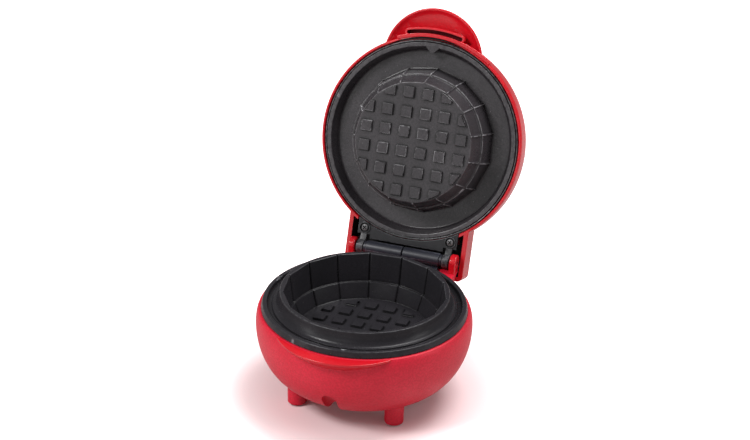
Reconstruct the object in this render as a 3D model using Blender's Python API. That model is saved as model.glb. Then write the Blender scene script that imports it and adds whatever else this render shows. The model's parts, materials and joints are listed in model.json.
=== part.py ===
# Waffle bowl maker: a small two-plate countertop iron that bakes one bowl-shaped waffle.
# Lengths are in metres, +Z is up and the front faces -Y.
# Every piece is modelled with the lid shut, and the lid's pieces hang from the hinge axis,
# which then opens them to the angle at which the maker stands ready to be filled.

import math

import bmesh
import bpy
from mathutils import Matrix, Vector

# Fits
SEAT_GAP = 0.0003
BORE_GAP = 0.0003
LID_GAP = 0.0004
OVERRUN = 0.002
WELD = 0.000001
SLIVER = 0.00001

# Facets
ROUND_STEPS = 48
INNER_STEPS = 30
HANDLE_STEPS = 36
RIB_STEPS = 3
FIRST_STEP_DEG = 2.0
PIN_SIDES = 12
SMALL_SIDES = 16
SMOOTH_DEG = 35.0

# Bowl of the base
BODY_RADIUS = 0.065
BASE_WALL = 0.0026
GROUND_CLEARANCE = 0.0105
BOWL_HEIGHT = 0.0365
BOWL_FLAT_RADIUS = 0.0392
SHOULDER_HEIGHT = 0.009
SHOULDER_INSET = 0.0024

# Lip that stands out under the lid's handle
LIP_RADIUS = 0.046
LIP_REACH = 0.0041
LIP_DROP = 0.0002
LIP_FACE = 0.0012
LIP_UNDERCUT_HEIGHT = 0.0055

# Underside: well with its cover, notch for the cord's end, peg feet
SKIRT_WIDTH = 0.0026
WELL_DEPTH = 0.0052
WELL_WALL = 0.0022
COVER_THICKNESS = 0.002
COVER_LEDGE = 0.0022
COVER_RIB_HEIGHT = 0.0016
COVER_RIB_WIDTH = 0.0016
NOTCH_RADIUS = 0.0046
NOTCH_ROUND = 0.0044
NOTCH_HEIGHT = 0.018
NOTCH_WALL = 0.0022
NOTCH_ROOF_SHARE = 0.7
NOTCH_SLOPE_SHARE = 0.27
NOTCH_FOOT_SHARE = 0.87
FOOT_RADIUS = 0.006
FOOT_EDGE = 0.001
FOOT_TAPER = 0.0003
FRONT_FOOT_SET_OUT = 0.0043
FRONT_FOOT_DEG = 45.0
REAR_FOOT_SET_IN = 0.0068
REAR_FOOT_DEG = 26.5
PAD_RADIUS = 0.004
PAD_THICKNESS = 0.0015
PAD_PROUD = 0.0006

# Rim that both plates share
RIM_HEIGHT = 0.0037
RIM_SET_IN = 0.0006
RIM_DRAFT = 0.001
RIM_LAND = 0.0025
RIM_ROUND = 0.0005
RECESS_DEPTH = 0.008
RECESS_DRAFT = 0.0024
RECESS_FLOOR_WIDTH = 0.0111

# Punch of the upper plate
PUNCH_DEPTH = 0.0163
PUNCH_STEP_DEPTH = 0.0065
PUNCH_BASE_DRAFT = 0.0028
PUNCH_STEP_WIDTH = 0.0012
PUNCH_NOSE_DRAFT = 0.0035
RIB_COUNT = 15
RIB_HEIGHT = 0.0006
RIB_HALF_DEG = 1.7
GRID_PITCH = 0.0122
GRID_SQUARE = 0.0072
GRID_RISE = 0.0014
GRID_CHAMFER = 0.0006
GRID_BORDER = 0.001
GRID_LEAST_SHARE = 0.2
UPPER_PLATE_WALL = 0.0024

# Edge of the upper plate
GROOVE_WIDTH = 0.0006
GROOVE_DEPTH = 0.001
BAND_WIDTH = 0.0007
BAND_DROP = 0.0005
FLANGE_HEIGHT = 0.006
FLANGE_WIDTH = 0.0022
TONGUE_WIDTH = 0.0084
TONGUE_LENGTH = 0.0038
TONGUE_DROP = 0.0002

# Cavity and collar of the lower plate
BATTER_WALL = 0.004
BATTER_FLOOR = 0.005
COLLAR_GAP = 0.0014
COLLAR_WALL = 0.0021
COLLAR_EDGE = 0.0006
COLLAR_FLARE = 0.0036
CHANNEL_DEPTH = 0.0024
RIDGE_HEIGHT = 0.0012
LOWER_PLATE_WALL = 0.003
PLATE_BELLY = 0.0026

# Hinge
HINGE_SETBACK = 0.0065
HINGE_DROP = 0.0026
LID_OPEN_DEG = 109.0
ROD_RADIUS = 0.0015
BARREL_RADIUS = 0.0044
BARREL_LENGTH = 0.0236
BARREL_SPLIT = 0.0007
BARREL_CHAMFER = 0.0004
BARREL_NECK_RADIUS = 0.0036
BARREL_NECK = 0.0016
LEAF_THICKNESS = 0.0016
LEAF_BITE = 0.0009
LEAF_TONGUE_WIDTH = 0.008
LEAF_TONGUE_THICKNESS = 0.002
LEAF_TONGUE_LENGTH = 0.002
KNUCKLE_GAP = 0.0021
KNUCKLE_WIDTH = 0.0042
KNUCKLE_RADIUS = 0.0042
EAR_GAP = 0.001
EAR_WIDTH = 0.0042
EAR_RADIUS = 0.0052
BLOCK_REACH = 0.003
BLOCK_EDGE = 0.0016
BLOCK_WAIST = 0.0034
BLOCK_HEIGHT = 0.014
BLOCK_WALL = 0.0024

# Lid hinge leaf and its screws
LID_LEAF_DROP = 0.0004
LID_LEAF_GAP = 0.0005
SCREW_SETBACK = 0.0115
BOSS_RADIUS = 0.0034
BOSS_RISE = 0.0006
TAB_SIDE = 0.0044
TAB_BACK = 0.0041
LEAF_CLEARANCE = 0.005
SCREW_HEAD_RADIUS = 0.0024
SCREW_HEAD_HEIGHT = 0.0012
SCREW_SHANK_RADIUS = 0.0014
SCREW_LENGTH = 0.0085
SCREW_CROSS_LENGTH = 0.0028
SCREW_CROSS_WIDTH = 0.0006
SCREW_CROSS_DEPTH = 0.0007

# Lid shell
DOME_HEIGHT = 0.04
DOME_SKIRT = 0.008
DOME_POWER = 2.3
LID_WALL = 0.0022
EDGE_ROUND = 0.0011
PLATE_SIDE_GAP = 0.0008
LEDGE_WIDTH = 0.0025
LEDGE_HEIGHT = 0.002
HOOD_SIDE_GAP = 0.0019
HOOD_BACK_GAP = 0.0038
HOOD_WALL = 0.003
HOOD_HEIGHT = 0.017
HOOD_CORNER = 0.0036
NOTCH_SIDE_GAP = 0.0008
LID_BOSS_RADIUS = 0.0036
LID_BOSS_HEIGHT = 0.0105

# Handle on the lid
HANDLE_RADIUS = 0.0322
HANDLE_SET_IN = 0.0146
HANDLE_TOP = 0.01
HANDLE_EDGE_HEIGHT = 0.0027
HANDLE_WALL = 0.0022
HANDLE_EDGE_WIDTH = 0.0014
HANDLE_CROWN_SHARES = ((0.37, 0.04), (0.68, 0.19), (0.87, 0.42), (0.97, 0.68), (1.0, 0.87))
HANDLE_DISH_SHARES = ((0.92, 0.52), (0.72, 0.2), (0.4, 0.05))
SLOT_RADIUS_OUT = 0.0028
SLOT_WIDTH = 0.0024
SLOT_HALF_LENGTH = 0.017
SLOT_BORDER = 0.0013
SLOT_DEPTH = 0.005
SLOT_PAD_HEIGHT = 0.0009
SLOT_PAD_SHARE = 0.95

# Heating, shared by both halves
ELEMENT_RADIUS = 0.0024
ELEMENT_GAP_DEG = 16.0
LOWER_ELEMENT_TAIL = 0.007
UPPER_ELEMENT_TAIL = 0.0045
ELEMENT_BEND = 0.005
ELEMENT_BEND_STEPS = 4
ELEMENT_RING_STEPS = 22
LOWER_ELEMENT_SET_IN = 0.005
UPPER_ELEMENT_SET_IN = 0.0061
REFLECTOR_THICKNESS = 0.0006
POST_RADIUS = 0.0035
POST_BORE_GAP = 0.0003

# Assembly screws through the cover
POST_FROM_WELL = 0.0106
POST_FROM_CAVITY = 0.0155
BASE_POST_SHARE = 0.45
BASE_POST_COUNT = 3
COVER_POST_RADIUS = 0.0046
LONG_SHANK_RADIUS = 0.0014
LONG_HEAD_RADIUS = 0.0029
LONG_HEAD_HEIGHT = 0.0018
LONG_SCREW_BITE_SHARE = 0.7

# Lower reflector
REFLECTOR_HOLE_GAP = 0.0035
REFLECTOR_FLAT_SET_IN = 0.0055
REFLECTOR_RIM_INSET = 0.0025
REFLECTOR_CLEARANCE = 0.0022

# Upper reflector
LID_POST_RADIUS = 0.0024
LID_POST_LENGTH = 0.0085
LID_POST_COUNT = 3
UPPER_REFLECTOR_MARGIN = 0.0013
UPPER_REFLECTOR_CURL = 0.002
SHORT_SHANK_RADIUS = 0.001
SHORT_HEAD_RADIUS = 0.002
SHORT_HEAD_HEIGHT = 0.0012
SHORT_SCREW_BITE = 0.005

# Thermostat, fuse, terminal block and wiring in the base
THERMOSTAT_CAP_RADIUS = 0.008
THERMOSTAT_CAP_HEIGHT = 0.0035
THERMOSTAT_BODY_RADIUS = 0.0066
THERMOSTAT_BODY_SHARE = 0.29
BLADE_WIDTH = 0.0048
BLADE_THICKNESS = 0.0008
BLADE_SHARE = 0.21
BLADE_SPACING = 0.0062
FUSE_RADIUS = 0.0019
FUSE_LENGTH = 0.0105
FUSE_SET_IN = 0.003
FUSE_DEG = 150.0
FUSE_LEAD_RADIUS = 0.0005
FUSE_LEAD_LENGTH = 0.004
TERMINAL_LENGTH = 0.018
TERMINAL_WIDTH = 0.009
TERMINAL_HEIGHT_SHARE = 0.69
TERMINAL_COUNT = 3
TERMINAL_BORE = 0.0028
TERMINAL_FROM_WELL = 0.0176
WIRE_RADIUS = 0.0009
WIRE_START_SHARES = (0.25, 0.94, 0.3)
BASE_WIRE_SHARES = (
    (0.9, 0.66, 0.18),
    (0.88, -0.16, 0.12),
    (0.79, -0.44, 0.11),
    (0.55, -0.74, 0.095),
    (0.24, -0.78, 0.09),
)
LID_WIRE_SHARES = ((0.14, 0.6, 0.62), (0.16, 0.23, 0.58), (0.12, -0.18, 0.55), (0.03, -0.4, 0.54))

# Cord bush
BUSH_ANGLE_DEG = 25.0
BUSH_RADIUS = 0.0032
BUSH_BORE = 0.0044
BUSH_FLANGE_RADIUS = 0.0048
BUSH_FLANGE = 0.0014
BUSH_TAIL = 0.007

# Indicator
LENS_PLACE_SHARE = 0.46
LENS_RADIUS = 0.0032
LENS_HEAD_RADIUS = 0.0044
LENS_HEAD_HEIGHT = 0.0014
LENS_STEM = 0.0045
LAMP_RADIUS = 0.0024
LAMP_LENGTH = 0.007
HOLDER_WALL = 0.0009
HOLDER_LENGTH = 0.01

# Heights worked out from the sizes above
bowl_floor_z = GROUND_CLEARANCE
widest_z = bowl_floor_z + BOWL_HEIGHT
shell_top_z = widest_z + SHOULDER_HEIGHT
rim_foot_z = shell_top_z + SEAT_GAP
rim_top_z = rim_foot_z + RIM_HEIGHT
lid_z = rim_top_z + LID_GAP
channel_z = rim_top_z - CHANNEL_DEPTH
ridge_z = channel_z + RIDGE_HEIGHT
collar_top_z = lid_z + RECESS_DEPTH - COLLAR_GAP
cavity_step_z = lid_z - PUNCH_STEP_DEPTH - BATTER_FLOOR
cavity_floor_z = lid_z - PUNCH_DEPTH - BATTER_FLOOR
plate_belly_z = cavity_floor_z - PLATE_BELLY
cover_under_z = bowl_floor_z + WELL_DEPTH
cover_top_z = cover_under_z + COVER_THICKNESS
ledge_under_z = cover_top_z + SEAT_GAP
ledge_top_z = ledge_under_z + WELL_WALL
room_under_plate = plate_belly_z - cover_top_z
base_post_length = room_under_plate * BASE_POST_SHARE
base_post_end_z = plate_belly_z - base_post_length
reflector_top_z = base_post_end_z - SEAT_GAP
reflector_under_z = reflector_top_z - REFLECTOR_THICKNESS
cover_post_top_z = reflector_under_z - SEAT_GAP
terminal_height = (reflector_under_z - cover_top_z) * TERMINAL_HEIGHT_SHARE

# Radii worked out from the sizes above
shell_top_radius = BODY_RADIUS - SHOULDER_INSET
rim_foot_radius = shell_top_radius - RIM_SET_IN
rim_top_radius = rim_foot_radius - RIM_DRAFT
rim_inner_radius = rim_top_radius - RIM_LAND
recess_floor_radius = rim_inner_radius - RECESS_DRAFT
punch_base_radius = recess_floor_radius - RECESS_FLOOR_WIDTH
punch_step_radius = punch_base_radius - PUNCH_BASE_DRAFT
punch_nose_radius = punch_step_radius - PUNCH_STEP_WIDTH
punch_face_radius = punch_nose_radius - PUNCH_NOSE_DRAFT
band_radius = rim_top_radius + GROOVE_WIDTH + BAND_WIDTH
cavity_floor_radius = punch_face_radius + BATTER_WALL
well_radius = BOWL_FLAT_RADIUS - SKIRT_WIDTH
lower_element_ring = rim_inner_radius - LOWER_ELEMENT_SET_IN
upper_element_ring = recess_floor_radius - UPPER_ELEMENT_SET_IN
lid_post_ring = upper_element_ring + ELEMENT_RADIUS + SEAT_GAP * 2 + LID_POST_RADIUS
base_post_ring = min(well_radius - POST_FROM_WELL, cavity_floor_radius - POST_FROM_CAVITY)
terminal_place = well_radius - TERMINAL_FROM_WELL

# Hinge places worked out from the sizes above
hinge_y = BODY_RADIUS + HINGE_SETBACK
hinge_z = rim_top_z - HINGE_DROP
barrel_end_x = BARREL_SPLIT / 2 + BARREL_LENGTH
knuckle_in_x = barrel_end_x + KNUCKLE_GAP
knuckle_out_x = knuckle_in_x + KNUCKLE_WIDTH
ear_in_x = knuckle_out_x + EAR_GAP
ear_out_x = ear_in_x + EAR_WIDTH
hood_in_x = ear_out_x + HOOD_SIDE_GAP
hood_out_x = hood_in_x + HOOD_WALL
hood_in_y = hinge_y + EAR_RADIUS + HOOD_BACK_GAP
hood_out_y = hood_in_y + HOOD_WALL
leaf_top_z = hinge_z - BARREL_RADIUS + LEAF_BITE
leaf_under_z = leaf_top_z - LEAF_THICKNESS
block_top_z = leaf_under_z - SEAT_GAP
lid_leaf_under_z = lid_z + LID_LEAF_DROP
lid_leaf_top_z = lid_leaf_under_z + LEAF_THICKNESS
screw_x = (knuckle_in_x + knuckle_out_x) / 2
screw_y = hinge_y - SCREW_SETBACK

plate_steps = RIB_COUNT * RIB_STEPS
first_angle = math.radians(FIRST_STEP_DEG)


def new_material(name, colour, roughness, metallic=0.0):
    material = bpy.data.materials.new(name)
    material.use_nodes = True
    shader = material.node_tree.nodes["Principled BSDF"]
    shader.inputs["Base Color"].default_value = (*colour, 1.0)
    shader.inputs["Roughness"].default_value = roughness
    shader.inputs["Metallic"].default_value = metallic
    material.diffuse_color = (*colour, 1.0)
    return material


def new_empty(name, place):
    empty = bpy.data.objects.new(name, None)
    empty.location = place
    bpy.context.scene.collection.objects.link(empty)
    return empty


def place_on(obj, body):
    # the lid's pieces are drawn shut, so their parent's place is taken off again
    bpy.context.scene.collection.objects.link(obj)
    obj.parent = body
    obj.matrix_parent_inverse = Matrix.Translation(-body.location)
    return obj


def mesh_object(name, bm, body, material=None):
    bmesh.ops.recalc_face_normals(bm, faces=bm.faces)
    mesh = bpy.data.meshes.new(name)
    bm.to_mesh(mesh)
    bm.free()
    mesh.shade_smooth()
    mesh.set_sharp_from_angle(angle=math.radians(SMOOTH_DEG))
    if material:
        mesh.materials.append(material)
    return place_on(bpy.data.objects.new(name, mesh), body)


def tool_object(name, bm, body):
    tool = mesh_object(name, bm, body)
    tool.hide_render = True
    tool.display_type = "WIRE"
    return tool


def combine(target, tool, operation):
    modifier = target.modifiers.new(tool.name, "BOOLEAN")
    modifier.operation = operation
    modifier.solver = "EXACT"
    modifier.object = tool


def join(target, name, bm):
    combine(target, tool_object(name, bm, target.parent), "UNION")


def cut(target, name, bm):
    combine(target, tool_object(name, bm, target.parent), "DIFFERENCE")


def turned(outline, steps=ROUND_STEPS, ribbed=()):
    # turns an outline of (radius, height) points round the upright axis; it is closed along the
    # axis where its two ends touch it, and otherwise from its last point to its first
    bm = bmesh.new()
    mark = bm.verts.layers.int.new("ribbed")
    turn = Matrix.Rotation(first_angle, 3, "Z")
    points = []
    for index, (radius, height) in enumerate(outline):
        vert = bm.verts.new(turn @ Vector((radius, 0, height)))
        vert[mark] = 1 if index in ribbed else 0
        points.append(vert)
    edges = [bm.edges.new(pair) for pair in zip(points, points[1:])]
    if outline[0][0] > 0 or outline[-1][0] > 0:
        edges.append(bm.edges.new((points[-1], points[0])))
    bmesh.ops.spin(
        bm,
        geom=points + edges,
        cent=(0, 0, 0),
        axis=(0, 0, 1),
        angle=math.tau,
        steps=steps,
        use_merge=True,
        use_duplicate=False,
    )
    bmesh.ops.remove_doubles(bm, verts=bm.verts, dist=WELD)
    bmesh.ops.recalc_face_normals(bm, faces=bm.faces)
    return bm


def prism(outline, low, high):
    # an outline of (x, y) points, raised from one height to another
    bm = bmesh.new()
    face = bm.faces.new([bm.verts.new((x, y, low)) for x, y in outline])
    raised = bmesh.ops.extrude_face_region(bm, geom=[face])
    moved = [item for item in raised["geom"] if isinstance(item, bmesh.types.BMVert)]
    bmesh.ops.translate(bm, vec=(0, 0, high - low), verts=moved)
    return bm


def side_prism(outline, low, high, both_sides=False):
    # an outline of (y, z) points, drawn out along X from low to high, and mirrored if asked
    bm = bmesh.new()
    for sign in (1, -1) if both_sides else (1,):
        face = bm.faces.new([bm.verts.new((sign * low, y, z)) for y, z in outline])
        drawn = bmesh.ops.extrude_face_region(bm, geom=[face])
        moved = [item for item in drawn["geom"] if isinstance(item, bmesh.types.BMVert)]
        bmesh.ops.translate(bm, vec=(sign * (high - low), 0, 0), verts=moved)
    return bm


def add_box(bm, low, high):
    size = Vector(high) - Vector(low)
    middle = (Vector(high) + Vector(low)) / 2
    matrix = Matrix.Translation(middle) @ Matrix.Diagonal((*size, 1.0))
    return bmesh.ops.create_cube(bm, size=1.0, matrix=matrix)["verts"]


def add_cylinder(bm, radius, start, end, sides=SMALL_SIDES, end_radius=None):
    start, end = Vector(start), Vector(end)
    along = end - start
    turn = along.to_track_quat("Z", "Y").to_matrix().to_4x4()
    return bmesh.ops.create_cone(
        bm,
        cap_ends=True,
        segments=sides,
        radius1=radius,
        radius2=radius if end_radius is None else end_radius,
        depth=along.length,
        matrix=Matrix.Translation((start + end) / 2) @ turn,
    )["verts"]


def box(low, high):
    bm = bmesh.new()
    add_box(bm, low, high)
    return bm


def cylinder(radius, start, end, sides=SMALL_SIDES, end_radius=None):
    bm = bmesh.new()
    add_cylinder(bm, radius, start, end, sides, end_radius)
    return bm


def arc(centre, radius, start_deg, end_deg, steps):
    points = []
    for step in range(steps + 1):
        angle = math.radians(start_deg + (end_deg - start_deg) * step / steps)
        points.append((centre[0] + radius * math.cos(angle), centre[1] + radius * math.sin(angle)))
    return points


def on_circle(radius, angle_deg):
    angle = math.radians(angle_deg)
    return Vector((radius * math.cos(angle), radius * math.sin(angle), 0))


def third_places(radius, count, first_deg):
    return [on_circle(radius, first_deg + 360.0 * index / count) for index in range(count)]


def tube(name, run, radius, body, material, sides_level=1):
    # one closed tube along a run of points
    curve = bpy.data.curves.new(name, "CURVE")
    curve.dimensions = "3D"
    curve.bevel_depth = radius
    curve.bevel_resolution = sides_level
    curve.use_fill_caps = True
    spline = curve.splines.new("POLY")
    spline.points.add(len(run) - 1)
    for point, place in zip(spline.points, run):
        point.co = (*place, 1.0)
    curve.materials.append(material)
    return place_on(bpy.data.objects.new(name, curve), body)


def smooth_run(places, count):
    # a smooth curve through the given places, sampled at an even count of points
    places = [Vector(place) for place in places]
    padded = [places[0], *places, places[-1]]
    run = []
    for index in range(count + 1):
        position = index / count * (len(places) - 1)
        span = min(int(position), len(places) - 2)
        share = position - span
        before, start, end, after = padded[span : span + 4]
        leaving = (end - before) / 2 * share * (1 - share) ** 2
        reaching = (after - start) / 2 * share * share * (1 - share)
        run.append(start + (end - start) * share * share * (3 - 2 * share) + leaving - reaching)
    return run


# Outlines shared by the base shell's outside and inside

def bowl_wall(wall, steps):
    # from the bowl's flat up to its widest ring, one wall in from the outside
    points = []
    wide = BODY_RADIUS - BOWL_FLAT_RADIUS - wall
    tall = BOWL_HEIGHT - wall
    for step in range(steps + 1):
        angle = math.radians(90.0 - 90.0 * step / steps)
        points.append(
            (BOWL_FLAT_RADIUS + wide * math.cos(angle), widest_z - tall * math.sin(angle))
        )
    return points


def shoulder(wall, angles):
    # from the widest ring in to the top edge
    points = []
    for angle in angles:
        inset = SHOULDER_INSET * (1 - math.cos(math.radians(angle)))
        height = SHOULDER_HEIGHT * math.sin(math.radians(angle))
        points.append((BODY_RADIUS - wall - inset, widest_z + height))
    return points


def bowl_height_at(radius):
    # height of the bowl's outer face over a place this far from the middle
    share = max(radius - BOWL_FLAT_RADIUS, 0) / (BODY_RADIUS - BOWL_FLAT_RADIUS)
    return widest_z - BOWL_HEIGHT * math.sqrt(max(1 - share * share, 0))


def foot_places():
    front = BOWL_FLAT_RADIUS + FRONT_FOOT_SET_OUT
    rear = BODY_RADIUS - REAR_FOOT_SET_IN
    return {
        "front_left": on_circle(front, -90.0 - FRONT_FOOT_DEG),
        "front_right": on_circle(front, -90.0 + FRONT_FOOT_DEG),
        "rear_left": on_circle(rear, 90.0 + REAR_FOOT_DEG),
        "rear_right": on_circle(rear, 90.0 - REAR_FOOT_DEG),
    }


def lip_form():
    # a shallow disc, set forward, that shows only as a crescent under the handle
    top = shell_top_z - LIP_DROP
    centre_y = LIP_RADIUS - BODY_RADIUS - LIP_REACH
    outline = [
        (0, top),
        (LIP_RADIUS - LIP_FACE / 2, top),
        (LIP_RADIUS, top - LIP_FACE / 2),
        (LIP_RADIUS, top - LIP_FACE),
        (LIP_RADIUS - LIP_REACH, top - LIP_FACE - LIP_UNDERCUT_HEIGHT),
        (0, top - LIP_FACE - LIP_UNDERCUT_HEIGHT),
    ]
    bm = turned(outline)
    bmesh.ops.translate(bm, vec=(0, centre_y, 0), verts=bm.verts)
    return bm


def hinge_block_outline(wall):
    # side outline of the hollow block behind the bowl that carries the hinge
    inner_y = rim_inner_radius - BASE_WALL
    return [
        (inner_y, block_top_z - wall),
        (inner_y, block_top_z - BLOCK_HEIGHT + wall),
        (BODY_RADIUS - BASE_WALL - wall, block_top_z - BLOCK_HEIGHT + wall + BLOCK_WAIST),
        (hinge_y - BLOCK_REACH - wall, block_top_z - BLOCK_WAIST - wall / 2),
        (hinge_y + BLOCK_REACH - wall, block_top_z - BLOCK_EDGE - wall / 2),
        (hinge_y + BLOCK_REACH - wall, block_top_z - wall),
    ]


def ear_outline():
    # a round eye over a foot that runs down into the block
    points = arc((hinge_y, hinge_z), EAR_RADIUS, 0.0, 180.0, 12)
    foot_z = block_top_z - BLOCK_EDGE / 2
    return points + [(hinge_y - EAR_RADIUS, foot_z), (hinge_y + BLOCK_REACH / 2, foot_z)]


def foot_form(place):
    # a peg with a rounded edge, open below for its pad
    top = bowl_height_at(place.length + FOOT_RADIUS) + BASE_WALL
    pad_seat = PAD_THICKNESS + SEAT_GAP
    bottom = PAD_PROUD
    outline = [
        (0, pad_seat),
        (PAD_RADIUS + SEAT_GAP, pad_seat),
        (PAD_RADIUS + SEAT_GAP, bottom),
        (FOOT_RADIUS - FOOT_TAPER - FOOT_EDGE, bottom),
        (FOOT_RADIUS - FOOT_TAPER - FOOT_EDGE / 4, bottom + FOOT_EDGE / 4),
        (FOOT_RADIUS - FOOT_TAPER, bottom + FOOT_EDGE),
        (FOOT_RADIUS, top),
        (0, top),
    ]
    bm = turned(outline, PIN_SIDES)
    bmesh.ops.translate(bm, vec=place, verts=bm.verts)
    return bm


def notch_roof(wall, start_y):
    # from the front in over the arch, down its sloping back and into the well
    top = bowl_floor_z + NOTCH_HEIGHT + wall
    low = bowl_floor_z + WELL_DEPTH * NOTCH_FOOT_SHARE + wall
    reach = BODY_RADIUS - well_radius
    return [
        (start_y, top),
        (wall - well_radius - reach * NOTCH_ROOF_SHARE, top),
        (wall - well_radius - reach * NOTCH_SLOPE_SHARE, low),
    ]


def notch_surround():
    # the pocket round the notch, filled from the middle of the bowl's wall inwards
    highest = bowl_floor_z + NOTCH_HEIGHT + NOTCH_WALL
    skin = [
        (-radius, height) for radius, height in bowl_wall(BASE_WALL / 2, 14)
        if height < highest and radius > well_radius + SKIRT_WIDTH * 2
    ]
    inner_y = -well_radius - WELL_WALL / 2
    roof = notch_roof(NOTCH_WALL, skin[-1][0])
    return [(inner_y, skin[0][1]), *skin, *roof, (inner_y, roof[-1][1])]


def notch_form():
    # the open arch itself, half-round along its roof
    front = -BODY_RADIUS - OVERRUN
    inner_y = WELL_WALL / 2 - well_radius
    roof = notch_roof(0, front)
    low = bowl_floor_z - NOTCH_RADIUS
    outline = [*roof, (inner_y, roof[-1][1]), (inner_y, low), (front, low)]
    bm = side_prism(outline, -NOTCH_RADIUS, NOTCH_RADIUS)
    ridge = [
        edge for edge in bm.edges
        if abs(edge.verts[0].co.x - edge.verts[1].co.x) < WELD
        and min(vert.co.z for vert in edge.verts) > roof[-1][1] - WELD
    ]
    bmesh.ops.bevel(
        bm, geom=ridge, offset=NOTCH_ROUND, segments=4, affect="EDGES", profile=0.5, material=-1
    )
    return bm


def make_base_shell(body, material):
    outside = [(0, bowl_floor_z), *bowl_wall(0, 7), *shoulder(0, (45.0, 90.0)), (0, shell_top_z)]
    shell = mesh_object("base_shell", turned(outside), body, material)
    join(shell, "lip_form", lip_form())
    join(shell, "hinge_block_form", side_prism(hinge_block_outline(0), -ear_out_x, ear_out_x))
    join(shell, "ear_forms", side_prism(ear_outline(), ear_in_x, ear_out_x, True))
    for name, place in foot_places().items():
        join(shell, f"foot_{name}_form", foot_form(place))

    notch_half = NOTCH_RADIUS + NOTCH_WALL
    inner_floor = bowl_floor_z + BASE_WALL
    well_wall_radius = well_radius + WELL_WALL
    inside_wall = [point for point in bowl_wall(BASE_WALL, 5) if point[0] > well_wall_radius]
    inside = [
        (0, ledge_top_z),
        (well_wall_radius, ledge_top_z),
        (well_wall_radius, inner_floor),
        *inside_wall,
        *shoulder(BASE_WALL, (90.0,)),
        (shell_top_radius - BASE_WALL, shell_top_z + OVERRUN),
        (0, shell_top_z + OVERRUN),
    ]
    cut(shell, "bowl_inside", turned(inside, INNER_STEPS))
    block_inside = side_prism(
        hinge_block_outline(BLOCK_WALL), BLOCK_WALL - ear_out_x, ear_out_x - BLOCK_WALL
    )
    cut(shell, "hinge_block_inside", block_inside)
    well = [
        (0, bowl_floor_z - OVERRUN),
        (well_radius, bowl_floor_z - OVERRUN),
        (well_radius, ledge_under_z),
        (well_radius - COVER_LEDGE, ledge_under_z),
        (well_radius - COVER_LEDGE, ledge_top_z + OVERRUN),
        (0, ledge_top_z + OVERRUN),
    ]
    cut(shell, "well_form", turned(well, INNER_STEPS))

    join(shell, "notch_surround", side_prism(notch_surround(), -notch_half, notch_half))
    cut(shell, "cord_notch", notch_form())

    rod_hole = cylinder(
        ROD_RADIUS + BORE_GAP,
        (-ear_out_x - OVERRUN, hinge_y, hinge_z),
        (ear_out_x + OVERRUN, hinge_y, hinge_z),
        PIN_SIDES,
    )
    cut(shell, "rod_holes", rod_hole)
    cut(shell, "leaf_pockets", leaf_tongues(SEAT_GAP))
    outer, inner = bush_axis()
    cut(shell, "bush_hole", cylinder(BUSH_RADIUS + SEAT_GAP, outer, inner))
    return shell


def leaf_tongues(extra):
    # two tongues under the base leaf, or their pockets when grown by a clearance
    bm = bmesh.new()
    middle_y = hinge_y - BARREL_SPLIT
    low_z = leaf_under_z - LEAF_TONGUE_LENGTH - extra
    reach = Vector((LEAF_TONGUE_WIDTH / 2 + extra, LEAF_TONGUE_THICKNESS / 2 + extra, 0))
    for sign in (1, -1):
        low = Vector((sign * barrel_end_x / 2, middle_y, low_z))
        high = Vector((low.x, middle_y, leaf_under_z + LEAF_THICKNESS / 2))
        add_box(bm, low - reach, high + reach)
    return bm


def make_base_leaf(body, material):
    # the two black barrels over one plate, which drops into the hinge block
    bm = bmesh.new()
    for sign in (1, -1):
        inner = sign * BARREL_SPLIT / 2
        outer = sign * barrel_end_x
        add_cylinder(bm, BARREL_RADIUS, (inner, hinge_y, hinge_z), (outer, hinge_y, hinge_z))
    rims = [
        edge for edge in bm.edges
        if abs(edge.verts[0].co.x - edge.verts[1].co.x) < WELD
    ]
    bmesh.ops.bevel(
        bm, geom=rims, offset=BARREL_CHAMFER, segments=1, affect="EDGES", profile=0.5, material=-1
    )
    leaf = mesh_object("base_hinge_leaf", bm, body, material)
    front_y = BODY_RADIUS + SEAT_GAP
    plate = box(
        (-barrel_end_x, front_y, leaf_under_z),
        (barrel_end_x, hinge_y + BLOCK_REACH - BLOCK_EDGE, leaf_top_z),
    )
    join(leaf, "leaf_plate_form", plate)
    join(leaf, "leaf_tongue_forms", leaf_tongues(0))
    necks = bmesh.new()
    for sign in (1, -1):
        start = sign * (barrel_end_x - BARREL_CHAMFER)
        end = sign * (barrel_end_x + BARREL_NECK)
        add_cylinder(necks, BARREL_NECK_RADIUS, (start, hinge_y, hinge_z), (end, hinge_y, hinge_z))
    join(leaf, "barrel_necks", necks)
    bore = cylinder(
        ROD_RADIUS + BORE_GAP,
        (-knuckle_in_x, hinge_y, hinge_z),
        (knuckle_in_x, hinge_y, hinge_z),
        PIN_SIDES,
    )
    cut(leaf, "leaf_bore", bore)
    return leaf


def make_hinge_rod(body, material):
    end = ear_out_x - SEAT_GAP
    bm = cylinder(ROD_RADIUS, (-end, hinge_y, hinge_z), (end, hinge_y, hinge_z), PIN_SIDES)
    return mesh_object("hinge_rod", bm, body, material)


def make_foot_pads(body, material):
    for name, place in foot_places().items():
        bm = cylinder(PAD_RADIUS, place, place + Vector((0, 0, PAD_THICKNESS)))
        mesh_object(f"foot_pad_{name}", bm, body, material)


# Plates

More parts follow.
